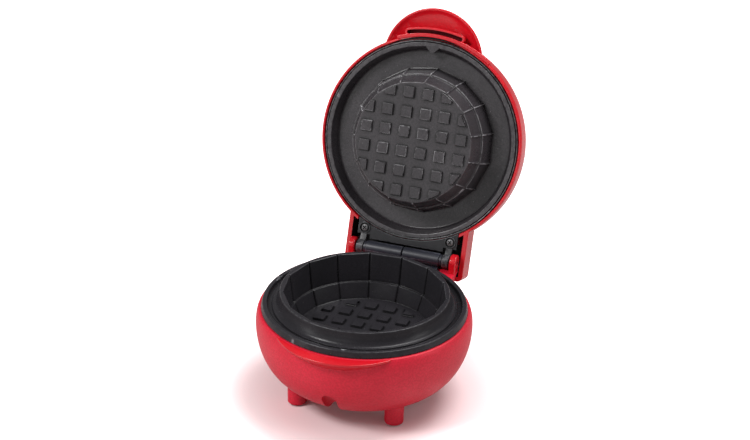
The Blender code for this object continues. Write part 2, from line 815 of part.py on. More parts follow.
def add_ribs(bm):
    # on the marked rings, every third point round is the crest of a rib and the points beside
    # it are the rib's feet, so the wall runs flat from one rib to the next
    mark = bm.verts.layers.int["ribbed"]
    step_angle = math.tau / plate_steps
    half_facet = math.pi / RIB_COUNT
    foot = math.radians(RIB_HALF_DEG)
    for vert in bm.verts:
        radius = vert.co.to_2d().length
        if not vert[mark] or radius < WELD:
            continue
        step = round((math.atan2(vert.co.y, vert.co.x) - first_angle) / step_angle)
        place = step % RIB_STEPS - 1
        angle = first_angle + (step - place) * step_angle + place * foot
        wanted = radius + RIB_HEIGHT
        if place:
            wanted = radius * math.cos(half_facet) / math.cos(half_facet - foot)
        vert.co.x = wanted * math.cos(angle)
        vert.co.y = wanted * math.sin(angle)


def grid_lines():
    # both edges of every row of squares that reaches the plate's middle
    rows = int(punch_face_radius / GRID_PITCH)
    centres = [(index + 0.5) * GRID_PITCH for index in range(-rows, rows)]
    return [centre + side * GRID_SQUARE / 2 for centre in centres for side in (-1, 1)]


def in_a_row(value):
    from_centre = abs((value / GRID_PITCH) % 1.0 - 0.5) * GRID_PITCH
    return from_centre < GRID_SQUARE / 2


def raise_grid(bm, level, rise):
    # the flat middle becomes one face, is split along the grid's lines, and its squares rise
    def is_middle(vert):
        return vert.co.to_2d().length < WELD and abs(vert.co.z - level) < WELD

    middle = [face for face in bm.faces if any(is_middle(vert) for vert in face.verts)]
    region = bmesh.ops.dissolve_faces(bm, faces=middle, use_verts=True)["region"]
    for axis in (Vector((1, 0, 0)), Vector((0, 1, 0))):
        for line in grid_lines():
            parts = set(region)
            for face in region:
                parts.update(face.verts)
                parts.update(face.edges)
            result = bmesh.ops.bisect_plane(
                bm, geom=list(parts), dist=WELD, plane_co=axis * line, plane_no=axis
            )
            region = [item for item in result["geom"] if isinstance(item, bmesh.types.BMFace)]
    least = GRID_SQUARE * GRID_SQUARE * GRID_LEAST_SHARE
    squares = []
    for face in region:
        middle_point = face.calc_center_median()
        if face.calc_area() > least and in_a_row(middle_point.x) and in_a_row(middle_point.y):
            squares.append(face)
    bmesh.ops.inset_individual(
        bm, faces=squares, thickness=GRID_CHAMFER, depth=0, use_even_offset=True
    )
    tops = {vert for face in squares for vert in face.verts}
    bmesh.ops.translate(bm, vec=(0, 0, rise), verts=list(tops))


def grid_ring():
    return punch_face_radius - GRID_BORDER


def add_post_forms(target, name, places, radius, base_z, end_z, bore):
    # round posts on the back of a plate, each with a blind screw hole
    posts = bmesh.new()
    bores = bmesh.new()
    down = math.copysign(OVERRUN, end_z - base_z)
    for place in places:
        add_cylinder(
            posts, radius, place + Vector((0, 0, base_z - down / 2)), place + Vector((0, 0, end_z))
        )
        add_cylinder(
            bores,
            bore,
            place + Vector((0, 0, base_z + down / 2)),
            place + Vector((0, 0, end_z + down)),
            PIN_SIDES // 2,
        )
    join(target, f"{name}_posts", posts)
    cut(target, f"{name}_bores", bores)


def base_post_places():
    return third_places(base_post_ring, BASE_POST_COUNT, 90.0)


def lid_post_places():
    return third_places(lid_post_ring, LID_POST_COUNT, -90.0)


def tongue_outline():
    # a blunt V that points in from the front of the rim
    half = TONGUE_WIDTH / 2
    root_y = -rim_inner_radius - RIM_LAND / 2
    side_y = RIM_ROUND - rim_inner_radius
    tip_y = TONGUE_LENGTH - rim_inner_radius
    return [
        (-half, root_y), (half, root_y), (half, side_y),
        (RIM_ROUND, tip_y), (-RIM_ROUND, tip_y), (-half, side_y),
    ]


def make_upper_plate(body, material):
    wall = UPPER_PLATE_WALL
    face_z = lid_z - PUNCH_DEPTH
    step_z = lid_z - PUNCH_STEP_DEPTH
    floor_z = lid_z + RECESS_DEPTH
    back_z = floor_z + wall
    groove_z = lid_z + GROOVE_DEPTH
    band_z = lid_z + BAND_DROP
    flange_z = lid_z + FLANGE_HEIGHT
    groove_floor_radius = rim_top_radius + GROOVE_WIDTH / 2
    back_rim_radius = band_radius - FLANGE_WIDTH
    outline = [
        (0, face_z),
        (grid_ring(), face_z),
        (punch_face_radius, face_z),
        (punch_nose_radius, step_z),
        (punch_step_radius, step_z),
        (punch_base_radius, floor_z),
        (recess_floor_radius, floor_z),
        (rim_inner_radius, lid_z + RIM_ROUND),
        (rim_inner_radius + RIM_ROUND, lid_z),
        (rim_top_radius, lid_z),
        (groove_floor_radius, groove_z),
        (rim_top_radius + GROOVE_WIDTH, band_z),
        (band_radius - BAND_DROP / 2, band_z),
        (band_radius, band_z + BAND_DROP / 2),
        (band_radius, flange_z),
        (back_rim_radius, flange_z),
        (back_rim_radius - wall / 3, back_z),
        (punch_base_radius - wall, back_z),
        (punch_step_radius - wall, step_z + wall),
        (punch_nose_radius - wall, step_z + wall),
        (punch_face_radius - wall, face_z + wall),
        (0, face_z + wall),
    ]
    bm = turned(outline, plate_steps, ribbed=(1, 2, 3, 4, 5))
    add_ribs(bm)
    raise_grid(bm, face_z, -GRID_RISE)
    plate = mesh_object("upper_plate", bm, body, material)
    tongue = prism(tongue_outline(), lid_z + TONGUE_DROP, floor_z + wall / 2)
    join(plate, "rim_tongue", tongue)
    add_post_forms(
        plate, "upper_plate", lid_post_places(), LID_POST_RADIUS,
        back_z, back_z + LID_POST_LENGTH, SHORT_SHANK_RADIUS + POST_BORE_GAP,
    )
    return plate


def cavity_radius_at(height):
    # the cavity's upper wall keeps its distance from the punch's upper wall
    share = (height - lid_z + PUNCH_STEP_DEPTH) / (RECESS_DEPTH + PUNCH_STEP_DEPTH)
    return punch_step_radius + PUNCH_BASE_DRAFT * share + BATTER_WALL


def collar_flare():
    # from the collar's outer edge down a hollow curve to the ridge
    top_radius = cavity_radius_at(collar_top_z) + COLLAR_WALL
    top_z = collar_top_z - COLLAR_EDGE
    points = []
    for angle in (0.0, 30.0, 60.0, 90.0):
        turn = math.radians(angle)
        points.append((
            top_radius + COLLAR_FLARE * (1 - math.cos(turn)),
            top_z + (ridge_z - top_z) * math.sin(turn),
        ))
    return points


def make_lower_plate(body, material):
    wall = LOWER_PLATE_WALL
    mouth_radius = cavity_radius_at(collar_top_z)
    step_radius = punch_step_radius + BATTER_WALL
    nose_radius = punch_nose_radius + BATTER_WALL
    floor_radius = cavity_floor_radius
    flare = collar_flare()
    ridge_radius = flare[-1][0]
    under_z = channel_z - PLATE_BELLY
    spigot_radius = shell_top_radius - BASE_WALL - RIM_SET_IN
    outline = [
        (0, cavity_floor_z),
        (grid_ring(), cavity_floor_z),
        (floor_radius, cavity_floor_z),
        (nose_radius, cavity_step_z),
        (step_radius, cavity_step_z),
        (mouth_radius, collar_top_z - COLLAR_EDGE),
        (mouth_radius + COLLAR_EDGE, collar_top_z),
        (mouth_radius + COLLAR_WALL - COLLAR_EDGE, collar_top_z),
        *flare,
        (ridge_radius + COLLAR_EDGE, ridge_z),
        (ridge_radius + COLLAR_EDGE, channel_z),
        (rim_inner_radius - RIM_ROUND, channel_z),
        (rim_inner_radius, rim_top_z - RIM_ROUND),
        (rim_inner_radius + RIM_ROUND, rim_top_z),
        (rim_top_radius - RIM_ROUND, rim_top_z),
        (rim_top_radius, rim_top_z - RIM_ROUND),
        (rim_foot_radius, rim_foot_z),
        (spigot_radius, rim_foot_z),
        (spigot_radius, under_z),
        (step_radius + wall, under_z),
        (step_radius + wall, cavity_step_z - wall),
        (nose_radius + wall / 2, cavity_step_z - wall),
        (floor_radius + wall / 2, plate_belly_z),
        (0, plate_belly_z),
    ]
    bm = turned(outline, plate_steps, ribbed=(1, 2, 3, 4, 5))
    add_ribs(bm)
    raise_grid(bm, cavity_floor_z, GRID_RISE)
    plate = mesh_object("lower_plate", bm, body, material)
    add_post_forms(
        plate, "lower_plate", base_post_places(), POST_RADIUS,
        plate_belly_z, base_post_end_z, LONG_SHANK_RADIUS + POST_BORE_GAP,
    )
    return plate


# Lid

def dome_wall(radius, height, foot_z, steps):
    # a soft-cornered dome from its foot ring up to its crown
    points = []
    for step in range(steps + 1):
        angle = math.pi / 2 * step / steps
        points.append((
            radius * max(math.cos(angle), 0) ** (2 / DOME_POWER) if step < steps else 0,
            foot_z + height * math.sin(angle) ** (2 / DOME_POWER),
        ))
    return points


def dome_height_at(radius):
    # height of the dome's outer face this far from the middle
    share = radius / BODY_RADIUS
    rise = (DOME_HEIGHT - DOME_SKIRT) * (1 - share ** DOME_POWER) ** (1 / DOME_POWER)
    return lid_z + DOME_SKIRT + rise


def hood_form():
    # the box behind the dome that covers the hinge, with its back and top edges rounded
    bm = bmesh.new()
    add_box(
        bm,
        (-hood_out_x, BODY_RADIUS / 2, lid_z),
        (hood_out_x, hood_out_y, lid_z + HOOD_HEIGHT),
    )
    edges = []
    for edge in bm.edges:
        low = min(vert.co.z for vert in edge.verts)
        back = min(vert.co.y for vert in edge.verts)
        across = abs(edge.verts[0].co.x - edge.verts[1].co.x) > WELD
        if low > lid_z + WELD and (back > BODY_RADIUS or not across):
            edges.append(edge)
        elif back > BODY_RADIUS and not across:
            edges.append(edge)
    bmesh.ops.bevel(
        bm, geom=edges, offset=HOOD_CORNER, segments=3, affect="EDGES", profile=0.5, material=-1
    )
    return bm


def hood_inside():
    # the hollow behind the dome's own wall
    low = (-hood_in_x, BODY_RADIUS / 2, lid_z - OVERRUN)
    high = (hood_in_x, hood_in_y, lid_z + HOOD_HEIGHT - HOOD_WALL)
    radius = BODY_RADIUS - SEAT_GAP / 2
    reach = math.degrees(math.acos(hood_in_x / radius))
    front = arc((0, 0), radius, 180.0 - reach, reach, 14)
    outline = [(low[0], high[1]), *front, (high[0], high[1])]
    return prism(outline, low[2], high[2])


def handle_form():
    # a dished half-round tab: crowned above and hollow below
    crown_z = lid_z + HANDLE_TOP
    edge_z = lid_z + HANDLE_EDGE_HEIGHT
    rise = crown_z - edge_z
    dish_rise = rise - HANDLE_WALL
    inner_radius = HANDLE_RADIUS - HANDLE_EDGE_WIDTH
    outline = [(0, crown_z)]
    outline += [(HANDLE_RADIUS * out, crown_z - rise * down) for out, down in HANDLE_CROWN_SHARES]
    outline += [(HANDLE_RADIUS - HANDLE_EDGE_WIDTH / 3, edge_z), (inner_radius, edge_z)]
    outline += [
        (inner_radius * out, edge_z + dish_rise * (1 - down)) for out, down in HANDLE_DISH_SHARES
    ]
    outline += [(0, edge_z + dish_rise)]
    bm = turned(outline, HANDLE_STEPS)
    bmesh.ops.translate(bm, vec=(0, HANDLE_SET_IN - BODY_RADIUS, 0), verts=bm.verts)
    return bm


def slot_outline(extra):
    # a band that follows the rim, with rounded ends
    middle = BODY_RADIUS + SLOT_RADIUS_OUT
    half = SLOT_WIDTH / 2 + extra
    reach = math.degrees(SLOT_HALF_LENGTH / middle)
    left, right = -90.0 - reach, -90.0 + reach
    points = arc((0, 0), middle + half, left, right, 10)
    end = on_circle(middle, right)
    points += arc(end, half, right, right + 180.0, 6)[1:-1]
    points += arc((0, 0), middle - half, right, left, 10)
    end = on_circle(middle, left)
    points += arc(end, half, left + 180.0, left + 360.0, 6)[1:-1]
    return points


def lens_frame():
    # place and upright direction of the indicator on the front of the dome
    radius = BODY_RADIUS * LENS_PLACE_SHARE
    step = BODY_RADIUS / ROUND_STEPS
    slope = (dome_height_at(radius + step) - dome_height_at(radius - step)) / (2 * step)
    place = Vector((0, -radius, dome_height_at(radius)))
    return place, Vector((0, slope, 1)).normalized()


def make_lid_shell(body, material):
    outside = [
        (0, lid_z),
        (BODY_RADIUS - EDGE_ROUND, lid_z),
        (BODY_RADIUS - EDGE_ROUND / 3, lid_z + EDGE_ROUND / 2),
        (BODY_RADIUS, lid_z + EDGE_ROUND * 2),
        *dome_wall(BODY_RADIUS, DOME_HEIGHT - DOME_SKIRT, lid_z + DOME_SKIRT, 8),
    ]
    shell = mesh_object("lid_shell", turned(outside), body, material)
    join(shell, "handle_form", handle_form())
    slot_pad_z = lid_z + SLOT_PAD_HEIGHT
    dish_rise = HANDLE_TOP - HANDLE_EDGE_HEIGHT - HANDLE_WALL
    pad_top_z = lid_z + HANDLE_EDGE_HEIGHT + dish_rise * SLOT_PAD_SHARE
    slot_pad = prism(slot_outline(SLOT_BORDER), slot_pad_z, pad_top_z)
    join(shell, "slot_surround", slot_pad)
    join(shell, "hood_form", hood_form())

    plate_hole = band_radius + PLATE_SIDE_GAP
    seat_z = lid_z + FLANGE_HEIGHT + SEAT_GAP
    inner_radius = BODY_RADIUS - LID_WALL
    inner_foot = seat_z + LEDGE_HEIGHT * 2
    inner_height = lid_z + DOME_HEIGHT - LID_WALL - inner_foot
    inside = [
        (0, lid_z - OVERRUN),
        (plate_hole, lid_z - OVERRUN),
        (plate_hole, seat_z),
        (plate_hole - LEDGE_WIDTH, seat_z),
        (plate_hole - LEDGE_WIDTH, seat_z + LEDGE_HEIGHT),
        *dome_wall(inner_radius, inner_height, inner_foot, 6),
    ]
    cut(shell, "lid_inside", turned(inside, INNER_STEPS))
    cut(shell, "hood_inside", hood_inside())
    cut(shell, "handle_slot", prism(slot_outline(0), lid_z - OVERRUN, slot_pad_z + SLOT_DEPTH))
    notch_half = screw_x + TAB_SIDE + NOTCH_SIDE_GAP
    leaf_notch = box(
        (-notch_half, rim_inner_radius / 2, lid_z - OVERRUN),
        (notch_half, hinge_y, lid_leaf_top_z + SEAT_GAP),
    )
    cut(shell, "leaf_notch", leaf_notch)

    bosses = bmesh.new()
    holes = bmesh.new()
    bore = SCREW_SHANK_RADIUS + BORE_GAP
    for sign in (1, -1):
        foot = Vector((sign * screw_x, screw_y, lid_leaf_top_z + SEAT_GAP))
        hole_top = foot + Vector((0, 0, LID_BOSS_HEIGHT - LID_WALL / 2))
        add_cylinder(bosses, LID_BOSS_RADIUS, foot, foot + Vector((0, 0, LID_BOSS_HEIGHT)))
        add_cylinder(holes, bore, foot - Vector((0, 0, OVERRUN)), hole_top, PIN_SIDES)
    join(shell, "screw_boss_forms", bosses)
    cut(shell, "screw_boss_holes", holes)

    place, upright = lens_frame()
    lens_hole = cylinder(
        LENS_RADIUS + SEAT_GAP, place + upright * OVERRUN, place - upright * (LID_WALL + OVERRUN)
    )
    cut(shell, "lens_hole", lens_hole)
    return shell


def lid_leaf_outline():
    # the flange behind the upper plate's band, with a square tab round each screw
    radius = band_radius + LID_LEAF_GAP
    half = screw_x + TAB_SIDE
    neck = screw_x - TAB_SIDE + RIM_ROUND
    back = hinge_y - LEAF_CLEARANCE
    tab_back = screw_y + TAB_BACK
    reach = math.degrees(math.acos(half / radius))
    points = arc((0, 0), radius, 180.0 - reach, reach, 12)
    points += [(half, tab_back), (neck, tab_back), (neck, back)]
    points += [(-neck, back), (-neck, tab_back), (-half, tab_back)]
    return points


def knuckle_outline():
    # an eye round the hinge rod with a neck forward to its tab
    points = arc((hinge_y, hinge_z), KNUCKLE_RADIUS, 90.0, -200.0, 18)
    neck_y = screw_y + TAB_BACK - LEAF_THICKNESS / 2
    return points + [(neck_y, lid_leaf_under_z), (neck_y, lid_leaf_top_z)]


def make_lid_leaf(body, material):
    bm = prism(lid_leaf_outline(), lid_leaf_under_z, lid_leaf_top_z)
    leaf = mesh_object("lid_hinge_leaf", bm, body, material)
    join(leaf, "knuckle_forms", side_prism(knuckle_outline(), knuckle_in_x, knuckle_out_x, True))
    rings = bmesh.new()
    seats = bmesh.new()
    for sign in (1, -1):
        top = Vector((sign * screw_x, screw_y, lid_leaf_top_z - LEAF_THICKNESS / 3))
        rim = Vector((sign * screw_x, screw_y, lid_leaf_under_z - BOSS_RISE))
        add_cylinder(rings, BOSS_RADIUS, rim, top)
        seat = rim + Vector((0, 0, SCREW_HEAD_HEIGHT + BOSS_RISE / 2))
        add_cylinder(
            seats, SCREW_HEAD_RADIUS + BORE_GAP, rim - Vector((0, 0, OVERRUN)), seat
        )
    join(leaf, "screw_ring_forms", rings)
    cut(leaf, "screw_head_seats", seats)
    shanks = bmesh.new()
    for sign in (1, -1):
        low = Vector((sign * screw_x, screw_y, lid_leaf_under_z - OVERRUN))
        high = Vector((sign * screw_x, screw_y, lid_leaf_top_z + OVERRUN))
        add_cylinder(shanks, SCREW_SHANK_RADIUS + BORE_GAP, low, high, PIN_SIDES)
    cut(leaf, "screw_shank_holes", shanks)
    bore = cylinder(
        ROD_RADIUS + BORE_GAP,
        (-knuckle_out_x - OVERRUN, hinge_y, hinge_z),
        (knuckle_out_x + OVERRUN, hinge_y, hinge_z),
        PIN_SIDES,
    )
    cut(leaf, "knuckle_bore", bore)
    return leaf


def make_leaf_screws(body, material):
    # two screws with a cross recess in the head, driven up into the lid's bosses
    head_top = lid_leaf_under_z - BOSS_RISE / 2 + SCREW_HEAD_HEIGHT - SEAT_GAP
    head_low = head_top - SCREW_HEAD_HEIGHT
    outline = [
        (0, head_low),
        (SCREW_HEAD_RADIUS - SCREW_CROSS_WIDTH, head_low),
        (SCREW_HEAD_RADIUS, head_low + SCREW_HEAD_HEIGHT / 2),
        (SCREW_HEAD_RADIUS, head_top),
        (SCREW_SHANK_RADIUS, head_top),
        (SCREW_SHANK_RADIUS, head_low + SCREW_LENGTH),
        (0, head_low + SCREW_LENGTH),
    ]
    for side, sign in (("left", -1), ("right", 1)):
        bm = turned(outline, PIN_SIDES)
        bmesh.ops.translate(bm, vec=(sign * screw_x, screw_y, 0), verts=bm.verts)
        screw = mesh_object(f"lid_hinge_screw_{side}", bm, body, material)
        cross = cross_outline((sign * screw_x, screw_y))
        recess = prism(cross, head_low - OVERRUN, head_low + SCREW_CROSS_DEPTH)
        cut(screw, f"cross_recess_{side}", recess)


def cross_outline(centre):
    # a plus sign, one arm after the other
    reach, half = SCREW_CROSS_LENGTH / 2, SCREW_CROSS_WIDTH / 2
    points = []
    for quarter in range(4):
        turn = Matrix.Rotation(math.pi / 2 * quarter, 2)
        for corner in ((reach, -half), (reach, half), (half, half)):
            points.append(tuple(turn @ Vector(corner) + Vector(centre)))
    return points


# Inside the base and the lid

def element_bend(ring, ring_z, tail, edge_deg, bend_deg):
    # from the foot of a tail at edge_deg up a quarter turn into the ring
    run = []
    for step in range(ELEMENT_BEND_STEPS):
        turn = math.radians(90.0 * step / ELEMENT_BEND_STEPS)
        drop = math.copysign(ELEMENT_BEND * (1 - math.sin(turn)), tail)
        along = edge_deg + bend_deg * (1 - math.cos(turn))
        run.append(on_circle(ring, along) + Vector((0, 0, ring_z + drop)))
    return [run[0] + Vector((0, 0, tail)), *run]


def element_run(ring, ring_z, tail):
    # a ring with a gap, whose two ends bend away from the plate
    bend_deg = math.degrees(ELEMENT_BEND / ring)
    first, last = 90.0 + ELEMENT_GAP_DEG / 2, 450.0 - ELEMENT_GAP_DEG / 2
    start, end = first + bend_deg, last - bend_deg
    run = element_bend(ring, ring_z, tail, first, bend_deg)
    for step in range(ELEMENT_RING_STEPS + 1):
        angle = start + (end - start) * step / ELEMENT_RING_STEPS
        run.append(on_circle(ring, angle) + Vector((0, 0, ring_z)))
    return run + element_bend(ring, ring_z, tail, last, -bend_deg)[::-1]


def tail_window(holes, ring, low_z, high_z):
    # an opening in a reflector for both tails of an element
    half = ring * math.sin(math.radians(ELEMENT_GAP_DEG / 2)) + ELEMENT_RADIUS * 2
    front, back = ring - ELEMENT_RADIUS * 2, ring + ELEMENT_RADIUS * 3 / 2
    add_box(holes, (-half, front, low_z), (half, back, high_z))


def lower_element_z():
    return channel_z - PLATE_BELLY - SEAT_GAP - ELEMENT_RADIUS


def upper_element_z():
    return lid_z + RECESS_DEPTH + UPPER_PLATE_WALL + SEAT_GAP + ELEMENT_RADIUS


def make_elements(base, lid, material):
    lower = element_run(lower_element_ring, lower_element_z(), -LOWER_ELEMENT_TAIL)
    upper = element_run(upper_element_ring, upper_element_z(), UPPER_ELEMENT_TAIL)
    tube("lower_heating_element", lower, ELEMENT_RADIUS, base, material)
    tube("upper_heating_element", upper, ELEMENT_RADIUS, lid, material)


def make_lower_reflector(body, material):
    # a pan clamped between the plate's posts and the cover's, flared up under the element
    rim_radius = BODY_RADIUS - BASE_WALL - REFLECTOR_RIM_INSET
    rim_z = lower_element_z() - ELEMENT_RADIUS - REFLECTOR_CLEARANCE
    hole_radius = THERMOSTAT_CAP_RADIUS + REFLECTOR_HOLE_GAP
    flat_radius = cavity_floor_radius - REFLECTOR_FLAT_SET_IN
    outline = [
        (hole_radius, reflector_top_z),
        (flat_radius, reflector_top_z),
        (rim_radius - REFLECTOR_THICKNESS, rim_z),
        (rim_radius, rim_z),
        (flat_radius + REFLECTOR_THICKNESS / 2, reflector_under_z),
        (hole_radius, reflector_under_z),
    ]
    pan = mesh_object("lower_heat_reflector", turned(outline, INNER_STEPS), body, material)
    holes = bmesh.new()
    for place in base_post_places():
        low = place + Vector((0, 0, reflector_under_z - OVERRUN))
        high = place + Vector((0, 0, reflector_top_z + OVERRUN))
        add_cylinder(holes, LONG_SHANK_RADIUS + POST_BORE_GAP, low, high, PIN_SIDES // 2)
    tail_window(holes, lower_element_ring, reflector_under_z, lower_element_z())
    cut(pan, "reflector_holes", holes)
    return pan


def make_upper_reflector(body, material):
    under_z = lid_z + RECESS_DEPTH + UPPER_PLATE_WALL + LID_POST_LENGTH + SEAT_GAP
    top_z = under_z + REFLECTOR_THICKNESS
    radius = lid_post_ring + LID_POST_RADIUS + UPPER_REFLECTOR_MARGIN
    outline = [
        (0, top_z),
        (radius, top_z),
        (radius, under_z - UPPER_REFLECTOR_CURL),
        (radius - REFLECTOR_THICKNESS, under_z - UPPER_REFLECTOR_CURL),
        (radius - REFLECTOR_THICKNESS, under_z),
        (0, under_z),
    ]
    disc = mesh_object("upper_heat_reflector", turned(outline, INNER_STEPS), body, material)
    holes = bmesh.new()
    for place in lid_post_places():
        low = place + Vector((0, 0, under_z - OVERRUN))
        high = place + Vector((0, 0, top_z + OVERRUN))
        add_cylinder(holes, SHORT_SHANK_RADIUS + POST_BORE_GAP, low, high, PIN_SIDES // 2)
    tail_window(holes, upper_element_ring, under_z - OVERRUN, top_z + OVERRUN)
    cut(disc, "upper_reflector_holes", holes)
    return disc


def make_pan_screws(name, places, head_z, direction, head, shank, length, body, material):
    # plain pan-head screws that share one mesh; direction is +1 where they point up
    head_radius, head_height = head
    outline = [
        (0, head_z - direction * head_height),
        (head_radius, head_z - direction * head_height),
        (head_radius, head_z),
        (shank, head_z),
        (shank, head_z + direction * length),
        (0, head_z + direction * length),
    ]
    first = mesh_object(f"{name}_1", turned(outline, PIN_SIDES // 2), body, material)
    first.location = places[0]
    for index, place in enumerate(places[1:], 2):
        copy = place_on(bpy.data.objects.new(f"{name}_{index}", first.data), body)
        copy.location = place


def make_cover(body, material):
    # the disc in the well, ribbed round its edge, with three tall posts for the long screws
    radius = well_radius - SEAT_GAP
    rib_out = well_radius - COVER_LEDGE - RIM_ROUND
    outline = [
        (0, cover_under_z),
        (radius, cover_under_z),
        (radius, cover_top_z),
        (rib_out, cover_top_z),
        (rib_out, cover_top_z + COVER_RIB_HEIGHT),
        (rib_out - COVER_RIB_WIDTH, cover_top_z + COVER_RIB_HEIGHT),
        (rib_out - COVER_RIB_WIDTH, cover_top_z),
        (0, cover_top_z),
    ]
    cover = mesh_object("bottom_cover", turned(outline, INNER_STEPS), body, material)
    posts = bmesh.new()
    bores = bmesh.new()
    seats = bmesh.new()
    for place in base_post_places():
        foot = place + Vector((0, 0, cover_under_z + COVER_THICKNESS / 2))
        top = place + Vector((0, 0, cover_post_top_z))
        above = top + Vector((0, 0, OVERRUN))
        below = place + Vector((0, 0, cover_under_z - OVERRUN))
        seat = place + Vector((0, 0, cover_under_z + LONG_HEAD_HEIGHT + SEAT_GAP))
        add_cylinder(posts, COVER_POST_RADIUS, foot, top)
        add_cylinder(bores, LONG_SHANK_RADIUS + POST_BORE_GAP, below, above, PIN_SIDES // 2)
        add_cylinder(seats, LONG_HEAD_RADIUS + POST_BORE_GAP, below, seat, PIN_SIDES)
    join(cover, "cover_posts", posts)
    cut(cover, "cover_screw_seats", seats)
    cut(cover, "cover_screw_bores", bores)
    return cover


def make_thermostat(body, material):
    # a snap disc: metal cap against the plate, body below it and two blades
    cap_top = plate_belly_z - SEAT_GAP
    cap_low = cap_top - THERMOSTAT_CAP_HEIGHT
    body_low = cap_low - room_under_plate * THERMOSTAT_BODY_SHARE
    outline = [
        (0, cap_top),
        (THERMOSTAT_CAP_RADIUS - FOOT_EDGE / 2, cap_top),
        (THERMOSTAT_CAP_RADIUS, cap_top - FOOT_EDGE / 2),
        (THERMOSTAT_CAP_RADIUS, cap_low),
        (THERMOSTAT_BODY_RADIUS, cap_low),
        (THERMOSTAT_BODY_RADIUS, body_low),
        (0, body_low),
    ]
    thermostat = mesh_object("thermostat", turned(outline, SMALL_SIDES), body, material)
    blades = bmesh.new()
    reach = Vector((BLADE_THICKNESS / 2, BLADE_WIDTH / 2, 0))
    for sign in (1, -1):
        low = Vector((sign * BLADE_SPACING / 2, 0, body_low - room_under_plate * BLADE_SHARE))
        high = Vector((low.x, 0, body_low + BLADE_THICKNESS))
        add_box(blades, low - reach, high + reach)
    join(thermostat, "thermostat_blades", blades)
    return thermostat


def make_fuse(body, material):
    # a small cylinder along Y under the plate, with a lead out of each end
    height = plate_belly_z - SEAT_GAP - FUSE_RADIUS
    centre = on_circle(base_post_ring - FUSE_SET_IN, FUSE_DEG) + Vector((0, 0, height))
    half = Vector((0, FUSE_LENGTH / 2, 0))
    reach = half + Vector((0, FUSE_LEAD_LENGTH, 0))
    case = cylinder(FUSE_RADIUS, centre - half, centre + half, PIN_SIDES)
    fuse = mesh_object("thermal_fuse", case, body, material)
    leads = cylinder(FUSE_LEAD_RADIUS, centre - reach, centre + reach, PIN_SIDES // 2)
    join(fuse, "fuse_leads", leads)
    return fuse


def make_terminal_block(body, material):
    # a three-way block on the cover, with a clamp hole through each way
    front = -terminal_place - TERMINAL_WIDTH / 2
    low = Vector((-TERMINAL_LENGTH / 2, front, cover_top_z + SEAT_GAP))
    high = low + Vector((TERMINAL_LENGTH, TERMINAL_WIDTH, terminal_height))
    block = mesh_object("terminal_block", box(low, high), body, material)
    holes = bmesh.new()
    for index in range(TERMINAL_COUNT):
        x = low.x + TERMINAL_LENGTH * (index + 0.5) / TERMINAL_COUNT
        z = (low.z + high.z) / 2
        add_cylinder(
            holes,
            TERMINAL_BORE / 2,
            (x, low.y - OVERRUN, z),
            (x, high.y + OVERRUN, z),
            PIN_SIDES // 2,
        )
    cut(block, "terminal_ways", holes)
    return block


def base_wire_route(tail_end, stop):
    # from the element's tail round the well and into the terminal block
    sign = math.copysign(1, tail_end.x)
    lead = WIRE_RADIUS * 3
    start = tail_end - Vector((0, 0, SEAT_GAP))
    route = [start, start - Vector((0, 0, lead))]
    places = [(lower_element_ring, WIRE_START_SHARES)]
    places += [(well_radius, shares) for shares in BASE_WIRE_SHARES]
    for radius, (x_share, y_share, z_share) in places:
        height = cover_top_z + (channel_z - cover_top_z) * z_share
        route.append(Vector((sign * radius * x_share, radius * y_share, height)))
    return route + [stop - Vector((0, lead, 0)), stop]


def lid_wire_route(tail_end, stop, upright):
    # from the element's tail forward over the reflector to the indicator's lamp
    sign = math.copysign(1, tail_end.x)
    lead = WIRE_RADIUS * 3
    start = tail_end + Vector((0, 0, SEAT_GAP))
    route = [start, start + Vector((0, 0, lead))]
    for x_share, y_share, z_share in LID_WIRE_SHARES:
        height = lid_z + DOME_HEIGHT * z_share
        route.append(Vector((sign * BODY_RADIUS * x_share, BODY_RADIUS * y_share, height)))
    return route + [stop - upright * lead, stop]


def make_wiring(base, lid, material):
    # a lead from each end of each element
    way = TERMINAL_LENGTH / 2 * (1 - 1 / TERMINAL_COUNT)
    block_front = -terminal_place - TERMINAL_WIDTH / 2 - SEAT_GAP
    block_z = cover_top_z + SEAT_GAP + terminal_height / 2
    lower = element_run(lower_element_ring, lower_element_z(), -LOWER_ELEMENT_TAIL)
    upper = element_run(upper_element_ring, upper_element_z(), UPPER_ELEMENT_TAIL)
    place, upright = lens_frame()
    lamp_end = place - upright * (LENS_STEM + LAMP_LENGTH + SEAT_GAP * 2)
    for end, name in ((-1, "right"), (0, "left")):
        sign = math.copysign(1, lower[end].x)
        route = base_wire_route(lower[end], Vector((sign * way, block_front, block_z)))
        tube(f"base_wire_{name}", smooth_run(route, 20), WIRE_RADIUS, base, material, 0)
        stop = lamp_end + Vector((sign * LAMP_RADIUS / 2, 0, 0))
        route = lid_wire_route(upper[end], stop, upright)
        tube(f"lid_wire_{name}", smooth_run(route, 18), WIRE_RADIUS, lid, material, 0)


def bush_axis():
    # through the bowl's back wall, square to it
    angle = math.radians(BUSH_ANGLE_DEG)
    wide = BODY_RADIUS - BOWL_FLAT_RADIUS
    surface_y = BOWL_FLAT_RADIUS + wide * math.cos(angle)
    surface = Vector((0, surface_y, widest_z - BOWL_HEIGHT * math.sin(angle)))
    outward = Vector((0, math.cos(angle) / wide, -math.sin(angle) / BOWL_HEIGHT)).normalized()
    return surface + outward * BUSH_TAIL, surface - outward * BUSH_TAIL


